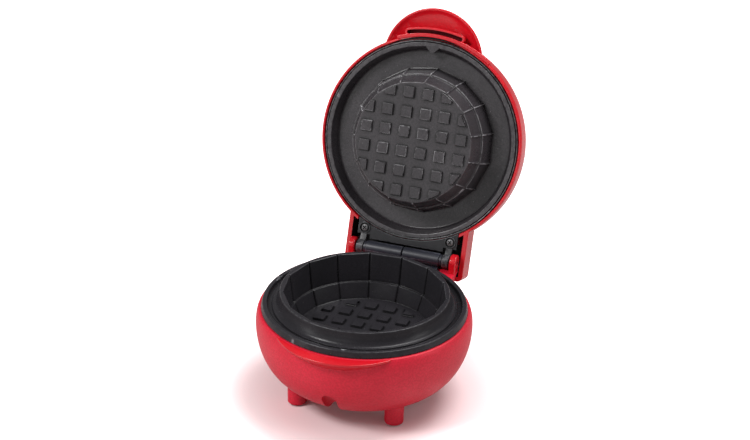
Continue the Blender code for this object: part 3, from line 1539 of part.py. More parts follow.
def make_cord_bush(body, material):
    # the sleeve that the lead passes through, with a flange outside the wall
    outer, inner = bush_axis()
    outward = (outer - inner).normalized()
    surface = (outer + inner) / 2
    sleeve = cylinder(BUSH_RADIUS, surface + outward * BUSH_FLANGE, inner)
    bush = mesh_object("cord_bush", sleeve, body, material)
    flange = cylinder(
        BUSH_FLANGE_RADIUS - BUSH_FLANGE / 3,
        surface + outward * (BUSH_FLANGE * 2),
        surface + outward * SEAT_GAP * 2,
        end_radius=BUSH_FLANGE_RADIUS,
    )
    join(bush, "bush_flange_form", flange)
    cut(bush, "bush_bore", cylinder(BUSH_BORE / 2, outer, inner - outward * OVERRUN, PIN_SIDES))
    return bush


def make_indicator(body, lens_material, lamp_material, holder_material):
    # a clear lens on the dome, and behind it a lamp inside the holder that grips the stem
    place, upright = lens_frame()
    stem_end = place - upright * LENS_STEM
    head_low = place + upright * SEAT_GAP
    head_high = place + upright * LENS_HEAD_HEIGHT
    stem = cylinder(LENS_RADIUS, stem_end, (head_low + head_high) / 2)
    head = cylinder(LENS_HEAD_RADIUS, head_low, head_high, end_radius=LENS_HEAD_RADIUS / 2)
    join(mesh_object("indicator_lens", stem, body, lens_material), "lens_head_form", head)

    lamp_top = stem_end - upright * SEAT_GAP
    lamp = cylinder(LAMP_RADIUS, lamp_top - upright * LAMP_LENGTH, lamp_top, PIN_SIDES)
    mesh_object("indicator_lamp", lamp, body, lamp_material)

    top = place - upright * (LID_WALL + LENS_HEAD_HEIGHT)
    low = top - upright * HOLDER_LENGTH
    bore_radius = LENS_RADIUS + SEAT_GAP
    sleeve = cylinder(bore_radius + HOLDER_WALL, low, top)
    holder = mesh_object("lamp_holder", sleeve, body, holder_material)
    bore = cylinder(bore_radius, low - upright * OVERRUN, top + upright * OVERRUN)
    cut(holder, "lamp_holder_bore", bore)


def close_slivers():
    # drops the hair-thin faces that cuts leave where two facets almost meet
    for obj in bpy.context.scene.objects:
        if obj.modifiers and not obj.hide_render:
            modifier = obj.modifiers.new("close_slivers", "WELD")
            modifier.merge_threshold = SLIVER


def centre_on_floor(root):
    # slides the whole maker so that the middle of its footprint stands on the origin
    bpy.context.view_layer.update()
    graph = bpy.context.evaluated_depsgraph_get()
    corners = []
    for obj in bpy.context.scene.objects:
        if obj.type != "MESH" or obj.hide_render:
            continue
        solid = obj.evaluated_get(graph)
        corners += [solid.matrix_world @ vert.co for vert in solid.data.vertices]
    for axis in (0, 1):
        values = [corner[axis] for corner in corners]
        root.location[axis] = -(min(values) + max(values)) / 2
    root.location[2] = -min(corner.z for corner in corners)


def main():
    for obj in list(bpy.data.objects):
        bpy.data.objects.remove(obj, do_unlink=True)

    red = new_material("red_shell", (0.55, 0.012, 0.028), 0.38)
    coating = new_material("nonstick_coating", (0.045, 0.043, 0.045), 0.48, 0.1)
    bracket = new_material("black_bracket", (0.035, 0.035, 0.038), 0.5, 0.3)
    steel = new_material("screw_steel", (0.12, 0.12, 0.125), 0.35, 1.0)
    bright = new_material("bright_steel", (0.62, 0.62, 0.64), 0.3, 1.0)
    sheath = new_material("element_sheath", (0.2, 0.19, 0.18), 0.45, 1.0)
    rubber = new_material("pad_rubber", (0.02, 0.02, 0.02), 0.85)
    black_plastic = new_material("black_plastic", (0.025, 0.025, 0.025), 0.55)
    white_plastic = new_material("terminal_nylon", (0.75, 0.74, 0.7), 0.5)
    insulation = new_material("wire_insulation", (0.7, 0.68, 0.62), 0.6)
    amber = new_material("amber_lens", (0.85, 0.28, 0.02), 0.2)

    maker = new_empty("maker", (0, 0, 0))
    base = new_empty("base", (0, 0, 0))
    base.parent = maker
    lid = new_empty("lid", (0, hinge_y, hinge_z))
    lid.parent = maker
    lid.rotation_euler.x = -math.radians(LID_OPEN_DEG)

    make_base_shell(base, red)
    make_base_leaf(base, bracket)
    make_hinge_rod(base, steel)
    make_foot_pads(base, rubber)
    make_lower_plate(base, coating)
    make_lower_reflector(base, bright)
    make_cover(base, red)
    long_head_z = cover_under_z + LONG_HEAD_HEIGHT
    long_shank = base_post_end_z + base_post_length * LONG_SCREW_BITE_SHARE - long_head_z
    make_pan_screws(
        "cover_screw", base_post_places(), long_head_z, 1,
        (LONG_HEAD_RADIUS, LONG_HEAD_HEIGHT), LONG_SHANK_RADIUS, long_shank, base, bright,
    )
    make_thermostat(base, bright)
    make_fuse(base, bright)
    make_terminal_block(base, white_plastic)
    make_cord_bush(base, black_plastic)

    make_lid_shell(lid, red)
    make_upper_plate(lid, coating)
    make_upper_reflector(lid, bright)
    reflector_screw_z = (
        lid_z + RECESS_DEPTH + UPPER_PLATE_WALL + LID_POST_LENGTH
        + SEAT_GAP * 2 + REFLECTOR_THICKNESS
    )
    make_pan_screws(
        "upper_reflector_screw", lid_post_places(), reflector_screw_z, -1,
        (SHORT_HEAD_RADIUS, SHORT_HEAD_HEIGHT), SHORT_SHANK_RADIUS, SHORT_SCREW_BITE, lid, bright,
    )
    make_lid_leaf(lid, bracket)
    make_leaf_screws(lid, steel)
    make_indicator(lid, amber, white_plastic, black_plastic)

    make_elements(base, lid, sheath)
    make_wiring(base, lid, insulation)
    close_slivers()
    centre_on_floor(maker)


main()
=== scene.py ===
import json
import math

import bmesh
import bpy
from mathutils import Matrix, Vector


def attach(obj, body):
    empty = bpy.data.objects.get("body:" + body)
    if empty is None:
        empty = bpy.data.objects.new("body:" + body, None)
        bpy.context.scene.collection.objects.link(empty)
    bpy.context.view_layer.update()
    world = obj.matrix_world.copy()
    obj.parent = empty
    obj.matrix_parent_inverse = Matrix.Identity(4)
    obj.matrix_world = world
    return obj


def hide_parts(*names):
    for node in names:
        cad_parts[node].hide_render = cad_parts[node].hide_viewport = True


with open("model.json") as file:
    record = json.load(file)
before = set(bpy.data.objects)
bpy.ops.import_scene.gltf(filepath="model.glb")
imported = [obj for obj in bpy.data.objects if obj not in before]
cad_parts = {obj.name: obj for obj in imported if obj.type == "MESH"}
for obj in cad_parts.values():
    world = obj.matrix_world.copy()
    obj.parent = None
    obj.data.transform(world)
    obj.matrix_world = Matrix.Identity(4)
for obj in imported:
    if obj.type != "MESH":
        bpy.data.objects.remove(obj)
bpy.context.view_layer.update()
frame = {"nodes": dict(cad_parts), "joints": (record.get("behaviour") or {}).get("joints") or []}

# The maker is drawn with its lid shut round the middle of the bowl, in metres, and each
# finished mesh is then moved to where its body stands.
hinge = frame["joints"][0]
hingePlace = Vector(hinge["pos_m"])
hingeReach = 0.0715  # from the middle of the bowl back to the hinge pin
openTurn = -math.radians(hinge["range_deg"][1])
homes = {
    "base": Matrix.Translation((0, hingePlace.y - hingeReach, 0)),
    "lid": Matrix.Translation(hingePlace)
    @ Matrix.Rotation(openTurn, 4, "X")
    @ Matrix.Translation((0, -hingeReach, -hingePlace.z)),
}

# heights and radii that several pieces share
level = {
    "floor": 0.0105, "widest": 0.047, "shellTop": 0.056, "rimFoot": 0.0563, "rimTop": 0.06,
    "lid": 0.0604, "leafTop": 0.0539, "hinge": hingePlace.z,
}
bowlRadius = 0.065
leafThick = 0.0016
gap = 0.0003  # between neighbouring pieces
spare = 0.002  # how far a cut runs past the face that it opens
near = 1e-6  # what counts as the same height or place
print("frame and sizes ready")


# ---- materials

def feed(tree, socket, value):
    # a link where the value is another socket, or else the plain value
    if isinstance(value, bpy.types.NodeSocket):
        tree.links.new(value, socket)
    else:
        socket.default_value = value


def newGroup(name, outputs, **inputs):
    group = bpy.data.node_groups.new(name, "ShaderNodeTree")
    for label, value in inputs.items():
        socket = group.interface.new_socket(label, in_out="INPUT", socket_type="NodeSocketFloat")
        socket.default_value = value
    for label in outputs:
        group.interface.new_socket(label, in_out="OUTPUT", socket_type="NodeSocketFloat")
    given, result = group.nodes.new("NodeGroupInput"), group.nodes.new("NodeGroupOutput")
    place = group.nodes.new("ShaderNodeTexCoord").outputs["Object"]
    return group, given.outputs, result.inputs, place


def noiseNode(tree, vector, scale, detail, roughness=0.5):
    node = tree.nodes.new("ShaderNodeTexNoise")
    for label, value in (
        ("Vector", vector), ("Scale", scale), ("Detail", detail), ("Roughness", roughness),
    ):
        feed(tree, node.inputs[label], value)
    return node.outputs["Fac"]


def cellNode(tree, vector, scale):
    node = tree.nodes.new("ShaderNodeTexVoronoi")
    feed(tree, node.inputs["Vector"], vector)
    feed(tree, node.inputs["Scale"], scale)
    return node.outputs


def mathNode(tree, operation, *values, clamp=False):
    node = tree.nodes.new("ShaderNodeMath")
    node.operation, node.use_clamp = operation, clamp
    for socket, value in zip(node.inputs, values):
        feed(tree, socket, value)
    return node.outputs[0]


def rangeNode(tree, value, fromLow, fromHigh, toLow=0.0, toHigh=1.0):
    node = tree.nodes.new("ShaderNodeMapRange")
    node.interpolation_type = "SMOOTHSTEP"
    for label, number in (
        ("Value", value), ("From Min", fromLow), ("From Max", fromHigh),
        ("To Min", toLow), ("To Max", toHigh),
    ):
        feed(tree, node.inputs[label], number)
    return node.outputs["Result"]


def mixNode(tree, factor, first, second):
    node = tree.nodes.new("ShaderNodeMix")
    node.data_type = "RGBA"
    for index, value in ((0, factor), (6, first), (7, second)):
        feed(tree, node.inputs[index], value)
    return node.outputs[2]


def makeMouldGrain():
    # fine tooth of a moulded or coated face: Height for the bump, Patches for colour and gloss,
    # and Mottle for small dark spots
    group, given, result, place = newGroup(
        "mouldGrain", ("Height", "Patches", "Mottle"), Grain=900.0, Patch=35.0,
    )
    tooth = noiseNode(group, place, given["Grain"], 3.0, 0.6)
    double = mathNode(group, "MULTIPLY", given["Grain"], 2.6)
    pitted = rangeNode(group, cellNode(group, place, double)["Distance"], 0.05, 0.5)
    base = mathNode(group, "MULTIPLY", tooth, 0.65)
    feed(group, result["Height"], mathNode(group, "MULTIPLY_ADD", pitted, 0.35, base))
    patches = noiseNode(group, place, given["Patch"], 2.0)
    feed(group, result["Patches"], rangeNode(group, patches, 0.3, 0.7))
    feed(group, result["Mottle"], rangeNode(group, tooth, 0.38, 0.62))
    return group


def makeEdgeWearAndGlint():
    # lighter outer edges, partly edge wear and partly painted highlight, broken up so that it isn't
    # an even line
    group, given, result, place = newGroup("edgeWearAndGlint", ("WearAndGlint",), Start=0.53, Full=0.6, Break=420.0)
    shape = group.nodes.new("ShaderNodeNewGeometry").outputs["Pointiness"]
    mask = rangeNode(group, shape, given["Start"], given["Full"])
    broken = rangeNode(group, noiseNode(group, place, given["Break"], 2.0), 0.3, 0.62)
    feed(group, result["WearAndGlint"], mathNode(group, "MULTIPLY", mask, broken, clamp=True))
    return group


def makeSpecks():
    # sparse bright flecks, as in a sprayed non-stick coat
    group, given, result, place = newGroup("specks", ("Specks",), Size=1500.0, Amount=0.12)
    cells = cellNode(group, place, given["Size"])
    chosen = mathNode(group, "LESS_THAN", cells["Color"], given["Amount"])
    dot = rangeNode(group, cells["Distance"], 0.5, 0.15)
    feed(group, result["Specks"], mathNode(group, "MULTIPLY", chosen, dot))
    return group


def makeCrease():
    # painted shade: a darker colour in inner corners, where little light reaches
    group, given, result, place = newGroup("crease", ("Crease",), Reach=0.002, Break=300.0)
    node = group.nodes.new("ShaderNodeAmbientOcclusion")
    node.samples = 12
    feed(group, node.inputs["Distance"], given["Reach"])
    mask = rangeNode(group, node.outputs["AO"], 0.97, 0.6)
    broken = rangeNode(group, noiseNode(group, place, given["Break"], 2.0), 0.1, 0.5)
    feed(group, result["Crease"], mathNode(group, "MULTIPLY", mask, broken, clamp=True))
    return group


groups = {
    "grain": makeMouldGrain(), "wearAndGlint": makeEdgeWearAndGlint(), "fleck": makeSpecks(), "creaseShade": makeCrease(),
}


def placeGroup(tree, kind, **values):
    node = tree.nodes.new("ShaderNodeGroup")
    node.node_tree = groups[kind]
    for label, value in values.items():
        node.inputs[label].default_value = value
    return node.outputs


def finish(
    name, colour, shade, rough, tooth, mottle=None, fleck=None, creaseShade=None, wearAndGlint=None,
    coat=(0.0, 0.1), metal=0.0, ior=1.5, shine=0.5, clear=0.0,
):
    # colour and shade change by patches, and rough is the least and the most. tooth: scale of the
    # grain and of the patches, strength and depth of the bump. mottle: colour, share. fleck:
    # colour, scale, amount. crease colour, painted shade in inner corners: colour, reach, share.
    # edge colour, edge wear with painted edge highlight: colour, pointiness where it starts and
    # where it is full, share. coat: weight, roughness
    material = bpy.data.materials.new(name)
    material.use_nodes = True
    tree = material.node_tree
    shader = tree.nodes["Principled BSDF"]
    grainSize, patchSize, strength, depth = tooth
    grain = placeGroup(tree, "grain", Grain=grainSize, Patch=patchSize)
    mixed = mixNode(tree, grain["Patches"], (*colour, 1), (*shade, 1))
    if mottle:
        share = mathNode(tree, "MULTIPLY", grain["Mottle"], mottle[1])
        mixed = mixNode(tree, share, mixed, (*mottle[0], 1))
    if fleck:
        spots = placeGroup(tree, "fleck", Size=fleck[1], Amount=fleck[2])["Specks"]
        mixed = mixNode(tree, spots, mixed, (*fleck[0], 1))
    # painted shade: the inner corners are darkened
    if creaseShade:
        corner = placeGroup(tree, "creaseShade", Reach=creaseShade[1])["Crease"]
        share = mathNode(tree, "MULTIPLY", corner, creaseShade[2])
        mixed = mixNode(tree, share, mixed, (*creaseShade[0], 1))
    # lighter edges: partly edge wear, partly painted edge highlight
    if wearAndGlint:
        edge = placeGroup(tree, "wearAndGlint", Start=wearAndGlint[1], Full=wearAndGlint[2])["WearAndGlint"]
        share = mathNode(tree, "MULTIPLY", edge, wearAndGlint[3])
        mixed = mixNode(tree, share, mixed, (*wearAndGlint[0], 1))
    halfPatches = mathNode(tree, "MULTIPLY", grain["Patches"], 0.5)
    uneven = mathNode(tree, "MULTIPLY_ADD", grain["Height"], 0.5, halfPatches)
    bump = tree.nodes.new("ShaderNodeBump")
    for label, value in (("Strength", strength), ("Distance", depth), ("Height", grain["Height"])):
        feed(tree, bump.inputs[label], value)
    for label, value in (
        ("Base Color", mixed), ("Roughness", rangeNode(tree, uneven, 0.1, 0.9, *rough)),
        ("Normal", bump.outputs["Normal"]), ("Metallic", metal), ("Coat Weight", coat[0]),
        ("Coat Roughness", coat[1]), ("IOR", ior), ("Specular IOR Level", shine),
        ("Transmission Weight", clear),
    ):
        feed(tree, shader.inputs[label], value)
    return material


# the lighter edge colours below are partly edge wear and partly painted edge highlight
satinLook = {
    "colour": (0.68, 0.011, 0.038), "shade": (0.60, 0.009, 0.030), "rough": (0.34, 0.48),
    "tooth": (820.0, 30.0, 0.5, 0.0002), "mottle": ((0.44, 0.004, 0.016), 0.5), "shine": 0.35,
}
coverRed = finish("coverRed", **satinLook)
satinRed = finish("satinRed", **satinLook, wearAndGlint=((0.78, 0.07, 0.09), 0.52, 0.6, 0.4))
glossRed = finish(
    "glossRed", (0.60, 0.007, 0.016), (0.53, 0.005, 0.013), (0.17, 0.26),
    (700.0, 24.0, 0.15, 0.00008), mottle=((0.44, 0.004, 0.010), 0.4),
    wearAndGlint=((0.8, 0.08, 0.09), 0.52, 0.6, 0.45), shine=0.4, coat=(0.1, 0.08),
)
# painted shade: a dark red for the inside of the grip slot, where little light reaches
slotShadeRed = finish(
    "slotShadeRed", (0.2, 0.003, 0.008), (0.15, 0.002, 0.006), (0.5, 0.62), (900.0, 40.0, 0.3, 0.0001),
    shine=0.2,
)
plateLook = {
    "colour": (0.050, 0.044, 0.049), "shade": (0.040, 0.036, 0.040), "rough": (0.22, 0.36),
    "tooth": (1000.0, 45.0, 0.45, 0.00012), "mottle": ((0.020, 0.018, 0.020), 0.7),
    # painted shade: the near-black crease colour darkens the inner corners
    "fleck": ((0.16, 0.15, 0.16), 1500.0, 0.07), "creaseShade": ((0.003, 0.003, 0.003), 0.0024, 0.95),
    "shine": 0.45,
}
plainCoat = finish("plainCoat", **plateLook)
# painted highlight: the light edge lines stand in for light caught on the edges; plainCoat has none
darkCoat = finish("darkCoat", **plateLook, wearAndGlint=((0.42, 0.41, 0.43), 0.512, 0.565, 0.7))
# painted shade: the plate coat again, made darker and bluer for the lower plate
shadedLowerLook = {
    "colour": (0.025, 0.023, 0.027), "shade": (0.019, 0.018, 0.021), "rough": (0.24, 0.34),
    "tooth": (1100.0, 45.0, 0.3, 0.0001), "mottle": ((0.013, 0.012, 0.014), 0.5),
    # painted shade: the near-black crease colour darkens the inner corners
    "fleck": ((0.1, 0.1, 0.105), 1500.0, 0.06), "creaseShade": ((0.003, 0.003, 0.003), 0.0024, 0.8),
    "shine": 0.2,
}
shadedLowerPlain = finish("shadedLowerPlain", **shadedLowerLook)
shadedLowerCoat = finish("shadedLowerCoat", **shadedLowerLook, wearAndGlint=((0.3, 0.305, 0.32), 0.52, 0.58, 0.6))
# painted highlight: the light edge colour stands in for light caught on the head's edges
screwFace = finish(
    "screwFace", (0.10, 0.096, 0.10), (0.08, 0.076, 0.08), (0.28, 0.4),
    (1500.0, 150.0, 0.2, 0.00006), wearAndGlint=((0.34, 0.34, 0.35), 0.512, 0.58, 0.6),
)
bracketPaint = finish(
    "bracketPaint", (0.028, 0.027, 0.030), (0.022, 0.022, 0.024), (0.28, 0.4),
    (1000.0, 60.0, 0.3, 0.0001), mottle=((0.02, 0.02, 0.022), 0.5),
    wearAndGlint=((0.26, 0.26, 0.28), 0.512, 0.58, 0.6), shine=0.3,
)
barrelPaint = finish(
    "barrelPaint", (0.022, 0.023, 0.033), (0.018, 0.019, 0.028), (0.34, 0.46),
    (1200.0, 60.0, 0.25, 0.00008), wearAndGlint=((0.2, 0.21, 0.25), 0.53, 0.6, 0.5),
)
blackSteel = finish(
    "blackSteel", (0.06, 0.06, 0.062), (0.04, 0.04, 0.042), (0.28, 0.42),
    (1800.0, 200.0, 0.1, 0.00005), wearAndGlint=((0.4, 0.4, 0.41), 0.53, 0.6, 0.6), metal=1.0,
)
sheetSteel = finish(
    "sheetSteel", (0.62, 0.62, 0.64), (0.52, 0.52, 0.54), (0.26, 0.4), (900.0, 60.0, 0.08, 0.00005),
    metal=1.0,
)
dullTube = finish(
    "dullTube", (0.3, 0.29, 0.28), (0.2, 0.18, 0.17), (0.4, 0.6), (1100.0, 110.0, 0.2, 0.00008),
    metal=1.0,
)
padRubber = finish(
    "padRubber", (0.018, 0.018, 0.018), (0.03, 0.029, 0.028), (0.7, 0.9),
    (1000.0, 180.0, 0.4, 0.00012),
)
mattBlack = finish(
    "mattBlack", (0.014, 0.013, 0.014), (0.011, 0.01, 0.011), (0.5, 0.66),
    (1300.0, 90.0, 0.3, 0.0001), wearAndGlint=((0.06, 0.06, 0.06), 0.54, 0.64, 0.4),
)
nylon = finish(
    "nylon", (0.76, 0.74, 0.68), (0.7, 0.67, 0.6), (0.4, 0.55), (900.0, 90.0, 0.15, 0.0001),
)
wireSleeve = finish(
    "wireSleeve", (0.7, 0.67, 0.6), (0.62, 0.58, 0.5), (0.5, 0.7), (1600.0, 150.0, 0.35, 0.0001),
)
amberClear = finish(
    "amberClear", (0.9, 0.32, 0.02), (0.85, 0.27, 0.015), (0.08, 0.18),
    (500.0, 120.0, 0.05, 0.00005), clear=0.55, ior=1.49,
)
print("finishes ready")


# ---- modelling helpers

def shifted(bm, by, verts=None):
    bmesh.ops.translate(bm, vec=by, verts=verts or bm.verts)
    return bm


def rounded(bm, edges, offset, segments=3, clamp=False):
    bmesh.ops.bevel(
        bm, geom=edges, offset=offset, segments=segments, profile=0.5, affect="EDGES", material=-1,
        clamp_overlap=clamp,
    )


def levelEdges(bm, axis):
    # the edges that lie square to an axis
    return [e for e in bm.edges if abs(e.verts[0].co[axis] - e.verts[1].co[axis]) < near]


def inset(bm, faces, thickness, even=True):
    bmesh.ops.inset_individual(bm, faces=faces, thickness=thickness, depth=0, use_even_offset=even)


def spun(points, steps, startDeg=0.0, segments=3):
    # spins a profile of (radius, height) round the upright axis; a third number rounds that corner
    bm = bmesh.new()
    verts = [bm.verts.new((point[0], 0, point[1])) for point in points]
    for pair in zip(verts, verts[1:]):
        bm.edges.new(pair)
    if points[0][0] > 0 or points[-1][0] > 0:
        bm.edges.new((verts[-1], verts[0]))
    for size in sorted({point[2] for point in points if len(point) > 2}):
        marked = [vert for vert, point in zip(verts, points) if len(point) > 2 and point[2] == size]
        bmesh.ops.bevel(
            bm, geom=marked, offset=size, offset_type="OFFSET", segments=segments, profile=0.5,
            affect="VERTICES", material=-1,
        )
    bmesh.ops.rotate(bm, matrix=Matrix.Rotation(math.radians(startDeg), 3, "Z"), verts=bm.verts)
    bmesh.ops.spin(
        bm, geom=bm.verts[:] + bm.edges[:], cent=(0, 0, 0), axis=(0, 0, 1), angle=math.tau,
        steps=steps, use_merge=True, use_duplicate=False,
    )
    bmesh.ops.remove_doubles(bm, verts=bm.verts, dist=near)
    bmesh.ops.recalc_face_normals(bm, faces=bm.faces)
    return bm


def pulled(bm, points, by):
    # a face through the points, drawn out to a solid
    face = bm.faces.new([bm.verts.new(point) for point in points])
    drawn = bmesh.ops.extrude_face_region(bm, geom=[face])["geom"]
    shifted(bm, by, [item for item in drawn if isinstance(item, bmesh.types.BMVert)])


def softEnds(bm, axis, soften, segments):
    bmesh.ops.recalc_face_normals(bm, faces=bm.faces)
    if soften:
        rounded(bm, levelEdges(bm, axis), soften, segments, clamp=True)


def drawnUp(outline, low, high, soften=0.0, segments=3, border=0):
    # an outline of (x, y) raised from low to high; border is a count of rings inside soft flats
    bm = bmesh.new()
    pulled(bm, [(x, y, low) for x, y in outline], (0, 0, high - low))
    softEnds(bm, 2, soften, segments)
    bm.normal_update()
    flats = [face for face in bm.faces if abs(face.normal.z) > 0.999 and len(face.verts) > 4]
    for _ in range(border):
        inset(bm, flats, soften)
    return bm


def drawnAcross(outline, low, high, soften=0.0, bothSides=False, segments=3):
    # an outline of (y, z) drawn out along X, and mirrored if asked
    bm = bmesh.new()
    for sign in (1, -1) if bothSides else (1,):
        pulled(bm, [(sign * low, y, z) for y, z in outline], (sign * (high - low), 0, 0))
    softEnds(bm, 0, soften, segments)
    return bm


def addRod(bm, radius, start, end, sides=48):
    start, end = Vector(start), Vector(end)
    turn = (end - start).to_track_quat("Z", "Y").to_matrix().to_4x4()
    return bmesh.ops.create_cone(
        bm, cap_ends=True, segments=sides, radius1=radius, radius2=radius,
        depth=(end - start).length, matrix=Matrix.Translation((start + end) / 2) @ turn,
    )["verts"]


def rod(radius, start, end, sides=48):
    bm = bmesh.new()
    addRod(bm, radius, start, end, sides)
    return bm


def hingeRod(radius, reach):
    # a rod along the hinge line, as far to the left as to the right
    return rod(radius, (-reach, hingeReach, level["hinge"]), (reach, hingeReach, level["hinge"]))


def upBy(height):
    return Vector((0, 0, height))


def addBlock(bm, middle, size):
    place = Matrix.Translation(middle) @ Matrix.Diagonal((*size, 1.0))
    bmesh.ops.create_cube(bm, size=1.0, matrix=place)


def block(low, high, soften=0.0, segments=3):
    bm = bmesh.new()
    addBlock(bm, (Vector(high) + Vector(low)) / 2, Vector(high) - Vector(low))
    if soften:
        rounded(bm, bm.edges[:], soften, segments)
    return bm


def lifted(points, height):
    # a profile whose heights are counted from a level
    return [(radius, height + rise, *corner) for radius, rise, *corner in points]


def arc(centre, radius, startDeg, endDeg, steps):
    turns = [startDeg + (endDeg - startDeg) * step / steps for step in range(steps + 1)]
    angles = [math.radians(turn) for turn in turns]
    return [(centre[0] + radius * math.cos(a), centre[1] + radius * math.sin(a)) for a in angles]


def onCircle(radius, angleDeg):
    angle = math.radians(angleDeg)
    return Vector((radius * math.cos(angle), radius * math.sin(angle), 0))


def threeOn(radius, firstDeg):
    return [onCircle(radius, firstDeg + 120.0 * index) for index in range(3)]


def stood(bm, place, upright):
    # stands a form that was drawn round Z at a place, along a direction
    turn = upright.to_track_quat("Z", "X").to_matrix().to_4x4()
    bmesh.ops.transform(bm, matrix=Matrix.Translation(place) @ turn, verts=bm.verts)
    return bm


def within(low, high):
    return lambda point: all(a < value < b for a, value, b in zip(low, point, high))


def workpiece(name, bm, *materials):
    bmesh.ops.recalc_face_normals(bm, faces=bm.faces)
    mesh = bpy.data.meshes.new(name)
    bm.to_mesh(mesh)
    bm.free()
    for material in materials:
        mesh.materials.append(material)
    obj = bpy.data.objects.new(name, mesh)
    bpy.context.scene.collection.objects.link(obj)
    return obj


def carve(target, bm, slotIndex=0, operation="DIFFERENCE"):
    # cuts a form away, or joins it on, and keeps the result as the piece's mesh
    for face in bm.faces:
        face.material_index = slotIndex
    tool = workpiece("tool", bm, *target.data.materials)
    modifier = target.modifiers.new("carve", "BOOLEAN")
    modifier.operation, modifier.solver, modifier.object = operation, "EXACT", tool
    bpy.context.view_layer.update()
    evaluated = target.evaluated_get(bpy.context.evaluated_depsgraph_get())
    made = bpy.data.meshes.new_from_object(evaluated)
    target.modifiers.clear()
    old, target.data = target.data, made
    bpy.data.meshes.remove(old)
    bpy.data.objects.remove(tool, do_unlink=True)


def join(target, bm, slotIndex=0):
    carve(target, bm, slotIndex, "UNION")


# within what distance points are welded and slivers vanish
weld = {"beforeSoftening": (0.00003, 0.00001), "atTheEnd": (0.00001, 0.000005)}


def cleaned(obj, reach):
    bm = bmesh.new()
    bm.from_mesh(obj.data)
    bmesh.ops.remove_doubles(bm, verts=bm.verts, dist=reach[0])
    bmesh.ops.dissolve_degenerate(bm, edges=bm.edges, dist=reach[1])
    return bm


def softenEdges(obj, chosen, offset, segments=2):
    # rounds only the sharp edges for which chosen says yes
    bm = cleaned(obj, weld["beforeSoftening"])
    picked = [
        edge for edge in bm.edges
        if len(edge.link_faces) == 2 and edge.calc_face_angle_signed() > 0.6
        and chosen((edge.verts[0].co + edge.verts[1].co) / 2)
    ]
    rounded(bm, picked, offset, segments, clamp=True)
    bm.to_mesh(obj.data)
    bm.free()


def settle(obj, body, slot, *nodes, sharpDeg=34.0):
    # cleans a piece, puts it where its body stands and lets it stand for its node
    bm = cleaned(obj, weld["atTheEnd"])
    bmesh.ops.transform(bm, matrix=homes[body], verts=bm.verts)
    bm.to_mesh(obj.data)
    bm.free()
    obj.data.shade_smooth()
    obj.data.set_sharp_from_angle(angle=math.radians(sharpDeg))
    modifier = obj.modifiers.new("evenShading", "WEIGHTED_NORMAL")
    modifier.keep_sharp, modifier.weight = True, 60
    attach(obj, body)
    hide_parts(*nodes)
    print("made", obj.name, len(obj.data.polygons))


# ---- base shell

bowl = {
    "wall": 0.0026, "height": 0.0365, "flatRadius": 0.0392, "topRound": 0.0006,
    "shoulderHeight": 0.009, "shoulderInset": 0.0024, "steps": 180, "wallSteps": 26,
    "insideSteps": 90, "insideWallSteps": 12,
}
well = {
    "radius": 0.0366, "depth": 0.0052, "wall": 0.0022, "coverThick": 0.002, "ledge": 0.0022,
    "flare": 0.0016, "flareHeight": 0.0004, "steps": 120,
}
lip = {
    "radius": 0.0445, "reach": 0.0054, "drop": 0.0002, "face": 0.0012, "undercut": 0.0055,
    "round": 0.0005,
}
notch = {
    "half": 0.0046, "round": 0.0044, "height": 0.018, "wall": 0.0022, "roofY": 0.05648,
    "footY": 0.044268, "footHeight": 0.004524, "softFrom": -0.064, "softTo": -0.03,
    "softTop": 0.03, "soften": 0.0005, "skinSteps": 40,
}
feet = {
    "radius": 0.006, "edge": 0.0012, "taper": 0.0003, "proud": 0.0006, "steps": 56,
    "places": {
        "front_left": onCircle(0.0435, -135), "front_right": onCircle(0.0435, -45),
        "rear_left": onCircle(0.0582, 116.5), "rear_right": onCircle(0.0582, 63.5),
    },
}
pad = {
    "radius": 0.004, "thick": 0.0015, "dish": 0.0003, "dishShare": 0.6, "dishEdge": 0.72,
    "round": 0.0004, "topRound": 0.0002, "steps": 48,
}
hingeBlock = {
    "front": 0.0559, "reach": 0.003, "edge": 0.0016, "waist": 0.0034, "height": 0.014,
    "wall": 0.0024, "soften": 0.0007, "earIn": 0.03125, "earOut": 0.03545, "earRadius": 0.0052,
    "earSoften": 0.0009,
}
leafTongue = {
    "x": 0.011975, "inset": 0.0007, "half": 0.004, "halfThick": 0.001, "down": 0.002, "up": 0.0008,
}
pin = {
    "radius": 0.0015, "bore": 0.0018, "soften": 0.0004, "knuckleIn": 0.02605, "knuckleOut": 0.03025,
}
bush = {
    "angle": 25.0, "radius": 0.0032, "bore": 0.0022, "tail": 0.007, "edge": 0.0003,
    "flangeRadius": 0.0048, "flangeTop": 0.0015, "flangeRound": 0.0007, "mouthWall": 0.0009,
    "mouthTop": 0.0028, "boreTop": 0.0026, "mouthRound": 0.0004, "steps": 72,
}
blockTop = level["leafTop"] - gap - leafThick


def bowlWall(wall, steps):
    wide, tall = bowlRadius - bowl["flatRadius"] - wall, bowl["height"] - wall
    angles = [math.radians(90.0 - 90.0 * step / steps) for step in range(steps + 1)]
    return [
        (bowl["flatRadius"] + wide * math.cos(a), level["widest"] - tall * math.sin(a))
        for a in angles
    ]


def shoulder(wall, angles):
    turns = [math.radians(angle) for angle in angles]
    return [
        (
            bowlRadius - wall - bowl["shoulderInset"] * (1 - math.cos(a)),
            level["widest"] + bowl["shoulderHeight"] * math.sin(a),
        )
        for a in turns
    ]


def bowlHeightAt(radius):
    share = max(radius - bowl["flatRadius"], 0) / (bowlRadius - bowl["flatRadius"])
    return level["widest"] - bowl["height"] * math.sqrt(max(1 - share * share, 0))


